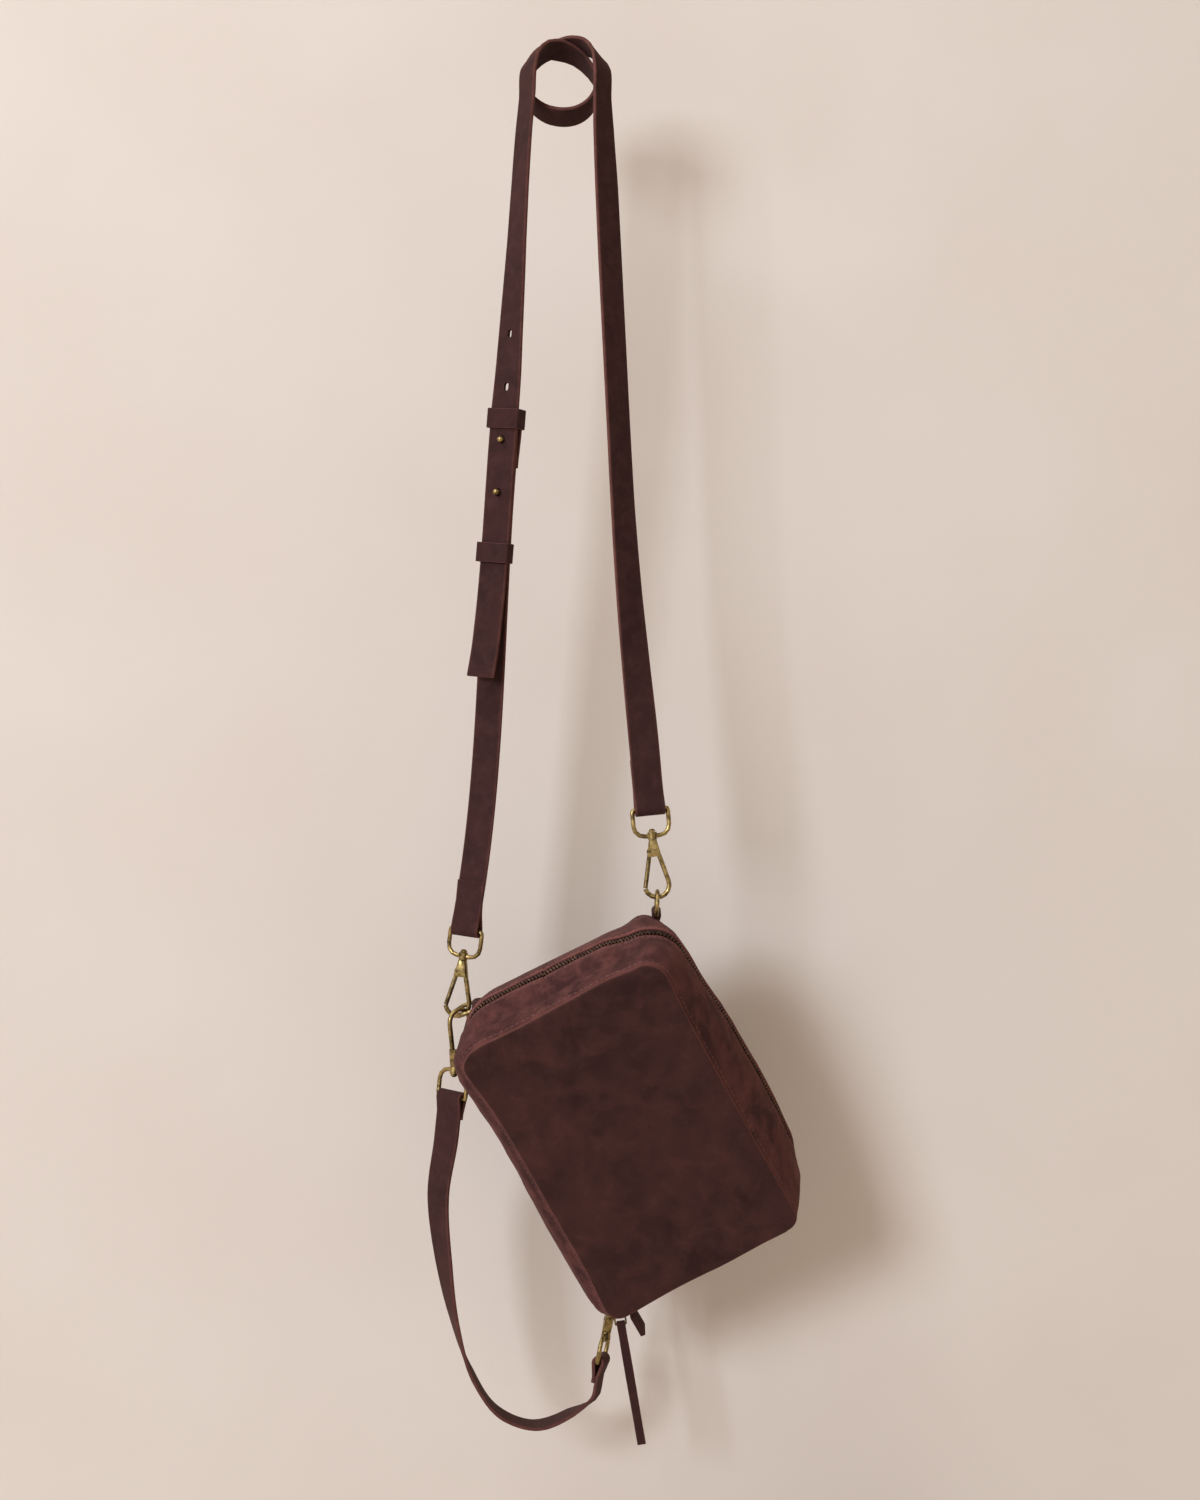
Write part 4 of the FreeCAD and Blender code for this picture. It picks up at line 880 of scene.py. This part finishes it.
def longStrap():
    stations = [(leftPoint(drop * mm, frontOffset + flare * mm), leftFace) for drop, flare in strap["tail"]]
    rise, fall = ([(Vector(spot) * mm, heading(turn)) for *spot, turn in strap[run]]
                  for run in ("rise", "fall"))
    stations += rise + wrapStations() + fall
    up, face = Vector(strap["rightUp"]).normalized(), heading(strap["rightTurn"])
    y, z = strapAxes(up, face)
    stations += [(rightBar + y * (strap["thick"] / 2) + z * (reach * mm), y) for reach in strap["rightLead"]]
    stations += foldStations(rightBar, up, face, strap["bar"], strap["thick"], strap["fold"])
    piece = strapPiece("strap_long_leather", stations, strap["width"], strap["thick"], 4 * mm)
    # two holes hold the studs, and the empty ones are above them on the rising strap
    marks = [(leftPoint(strap["studDrop"] + strap["holePitch"] * i, frontOffset), leftUp, leftFace)
             for i in (0, 1)]
    route = smoothPath(stations, 1 * mm)
    for i, turn in enumerate(strap["holeTurns"], 1):
        guess = leftPoint(strap["studDrop"] - strap["holePitch"] * i, frontOffset)
        at = min(range(1, len(route) - 1), key=lambda k: (route[k][0] - guess).length)
        marks.append((route[at][0], route[at + 1][0] - route[at - 1][0], heading(turn)))
    cutHoles(piece, marks, strap["holeWidth"], strap["holeHeight"], 3 * strap["thick"])
    return piece


def shortStrap():
    # eye at the foot, single layer, and the top end folded down behind
    y, z, t = leftFace, leftUp, strap["thick"]
    stations = foldStations(leftBar, z, y, strap["bar"], t, strap["fold"])[::-1]
    stations.append((leftBar + y * (t / 2) + z * (shortLength - strap["shortLead"]), y))
    crest = leftBar + z * (shortLength - t)
    for a in (pi * i / 6 for i in range(7)):
        out = y * cos(a) + z * sin(a)
        stations.append((crest + out * (t / 2), out))
    stations.append((leftBar - y * (t / 2) + z * (shortLength - strap["shortTuck"]), -y))
    return strapPiece("strap_short_leather", stations, strap["width"], t, 6 * mm)


# the route is a place in mm and the way the strap faces there
wrist = {"ringReach": 18 * mm, "fold": 14 * mm, "near": 16 * mm, "upperFar": 25 * mm, "lowerFar": 23 * mm,
         "upperNormal": (-0.6, -0.8, 0), "lowerNormal": (1, -0.25, -0.3),
         "route": ((-86, 18, -752, (-0.69, -0.72, 0)), (-82.5, 21, -796, (-0.82, -0.57, -0.1)),
                   (-76, 26, -836, (-0.93, -0.30, -0.2)), (-64, 33, -876, (-0.90, -0.05, -0.43)),
                   (-45, 41, -905, (-0.50, 0, -0.86)), (-20, 49, -915.5, (0, 0, -1)),
                   (3, 56, -909, (0.45, 0, -0.89)))}
joints = {joint["name"]: joint for joint in frame["joints"]}


def wristEnd(word):
    # the folded end round a hook's ring and the start of the free strap, from the fold outwards
    joint, normal = joints["wrist_%s_swivel" % word], Vector(wrist[word + "Normal"])
    up = -Vector(joint["axis"]).normalized()
    bar = Vector(joint["pos_m"]) + up * wrist["ringReach"]
    y, z = strapAxes(up, normal)
    stations = foldStations(bar, up, normal, strap["bar"], strap["thick"], wrist["fold"])[::-1]
    return stations + [(bar + y * (strap["thick"] / 2) + z * reach, y)
                       for reach in (wrist["near"], wrist[word + "Far"])]


def wristStrap():
    stations = wristEnd("upper") + [(Vector(spot) * mm, Vector(face)) for *spot, face in wrist["route"]]
    stations += wristEnd("lower")[::-1]
    return strapPiece("wrist_strap_leather", stations, strap["width"], strap["thick"], 4 * mm)


place(longStrap(), "strap", "strap_leather", "strap_long")
place(shortStrap(), "strap", "strap_leather", "strap_short")
place(wristStrap(), "wrist", "strap_leather", "wrist_strap")

pull = {"down": (0.17, 0.0, -0.985), "reach": 14.25 * mm, "bar": 0.99 * mm, "thick": 1.1 * mm,
        "width": 5.8 * mm, "length": 84 * mm}
down = Vector(pull["down"]).normalized()
loopAt = Vector(joints["pull_swing"]["pos_m"]) + down * pull["reach"]
pullRun = foldStations(loopAt, down, bagDirection(0, 1, 0), pull["bar"], pull["thick"], pull["length"],
                       pull["length"])
place(strapPiece("zip_pull_leather", pullRun, pull["width"], pull["thick"], 4 * mm, 0.3 * mm), "pull",
      "strap_leather", "zip_pull")
for node, body in (("fixed_keeper", "strap"), ("sliding_keeper", "keeper"), ("tab_right", "bag_back"),
                   ("tab_left", "bag_back"), ("tab_low", "bag_back")):
    place(softCopy(node + "_leather", node, strapSuede, 0.4 * mm), body, "strap_leather", node)
print("straps ready")


# ---- hardware
casting = {"weld": 0.008 * mm, "flat": 1.0, "edge": 42.0, "bevel": 0.22 * mm, "segments": 2}


def hardware(node, body, material):
    # the casting's own shape with its drawn facets smoothed over
    form = cadForm(node, casting["weld"], casting["flat"])
    mesh = bpy.data.meshes.new(node + "_brass")
    form.to_mesh(mesh)
    form.free()
    piece = finished(node + "_brass", mesh, material, casting["edge"])
    soften = piece.modifiers.new("rubbed edges", "BEVEL")
    soften.width, soften.segments = casting["bevel"], casting["segments"]
    soften.limit_method, soften.angle_limit = "ANGLE", radians(casting["edge"])
    return place(piece, body, "antique_brass", node)


# the bodies that carry each clip's ring, hook and gate
clips = {"right_clip": ("strap", "right_hook", "right_gate"),
         "left_clip": ("strap", "left_hook", "left_gate"),
         "wrist_upper": ("wrist", "wrist_upper_snap", "wrist_upper_arm"),
         "wrist_lower": ("wrist", "wrist_lower_snap", "wrist_lower_arm")}
for clip, (ringBody, hookBody, gateBody) in clips.items():
    hardware(clip + "_ring", ringBody, brass)
    hardware(clip + "_hook", hookBody, brass)
    hardware(clip + "_gate", gateBody, brassDark)
    for small in ("_pin", "_spring"):
        nodes[clip + small].data.materials.clear()
        nodes[clip + small].data.materials.append(brassDark)
for node in ("d_ring_right", "d_ring_left", "d_ring_low"):
    hardware(node, "bag_back", brass)
hardware("strap_studs", "strap", brass)
hardware("zip_slider", "slider", brassTeeth)
hardware("zip_puller", "pull", brassDark)
print("hardware ready")


# ---- lining and slip pocket
lining = {"inset": 2.4 * mm, "thick": 0.6 * mm, "edge": 8.5 * mm, "spacing": 8 * mm, "cornerSteps": 6,
          "wallRows": 4, "floorRings": (0.93, 0.8, 0.6, 0.35, 0.1), "ripple": 0.5 * mm, "offPanel": 0.6 * mm}


def trayPiece(name, shell):
    # cloth skin inside one shell: a floor against the panel and a wall up to the zip tape
    side = shell["side"]
    floor, edge = shell["seam"] - side * lining["offPanel"], bag["zipLine"] + side * lining["edge"]
    outline = [(x - cos(a) * lining["inset"], z - sin(a) * lining["inset"])
               for x, z, a in rim(True, lining["spacing"], lining["cornerSteps"])]
    rings = [(edge + (floor - edge) * i / lining["wallRows"], 1.0) for i in range(lining["wallRows"] + 1)]
    rings += [(floor, share) for share in lining["floorRings"]]
    points = []
    for depth, share in rings:
        for x, z in outline:
            # the wall is smooth and the floor ripples
            ripple = lining["ripple"] * noise.noise(Vector((x, depth, z)) * 60) if share < 1 else 0.0
            points.append((x * share, depth - side * ripple, z * share))
    size = len(outline)
    faces = ringFaces(size, len(rings)) + [tuple(range(len(points) - size, len(points)))]
    piece = makePiece(name, points, faces, liningCloth, moved=bagPlace)
    body = piece.modifiers.new("cloth thickness", "SOLIDIFY")
    body.thickness, body.offset = lining["thick"], 0.0
    return piece


for word, shell in reversed(shells.items()):
    place(trayPiece("lining_%s_cloth" % word, shell), "bag_" + word, "lining_fabric", "lining_" + word)
place(softCopy("inner_pocket_cloth", "inner_pocket", liningCloth, 0.5 * mm), "bag_back", "lining_fabric",
      "inner_pocket")
print("lining ready")
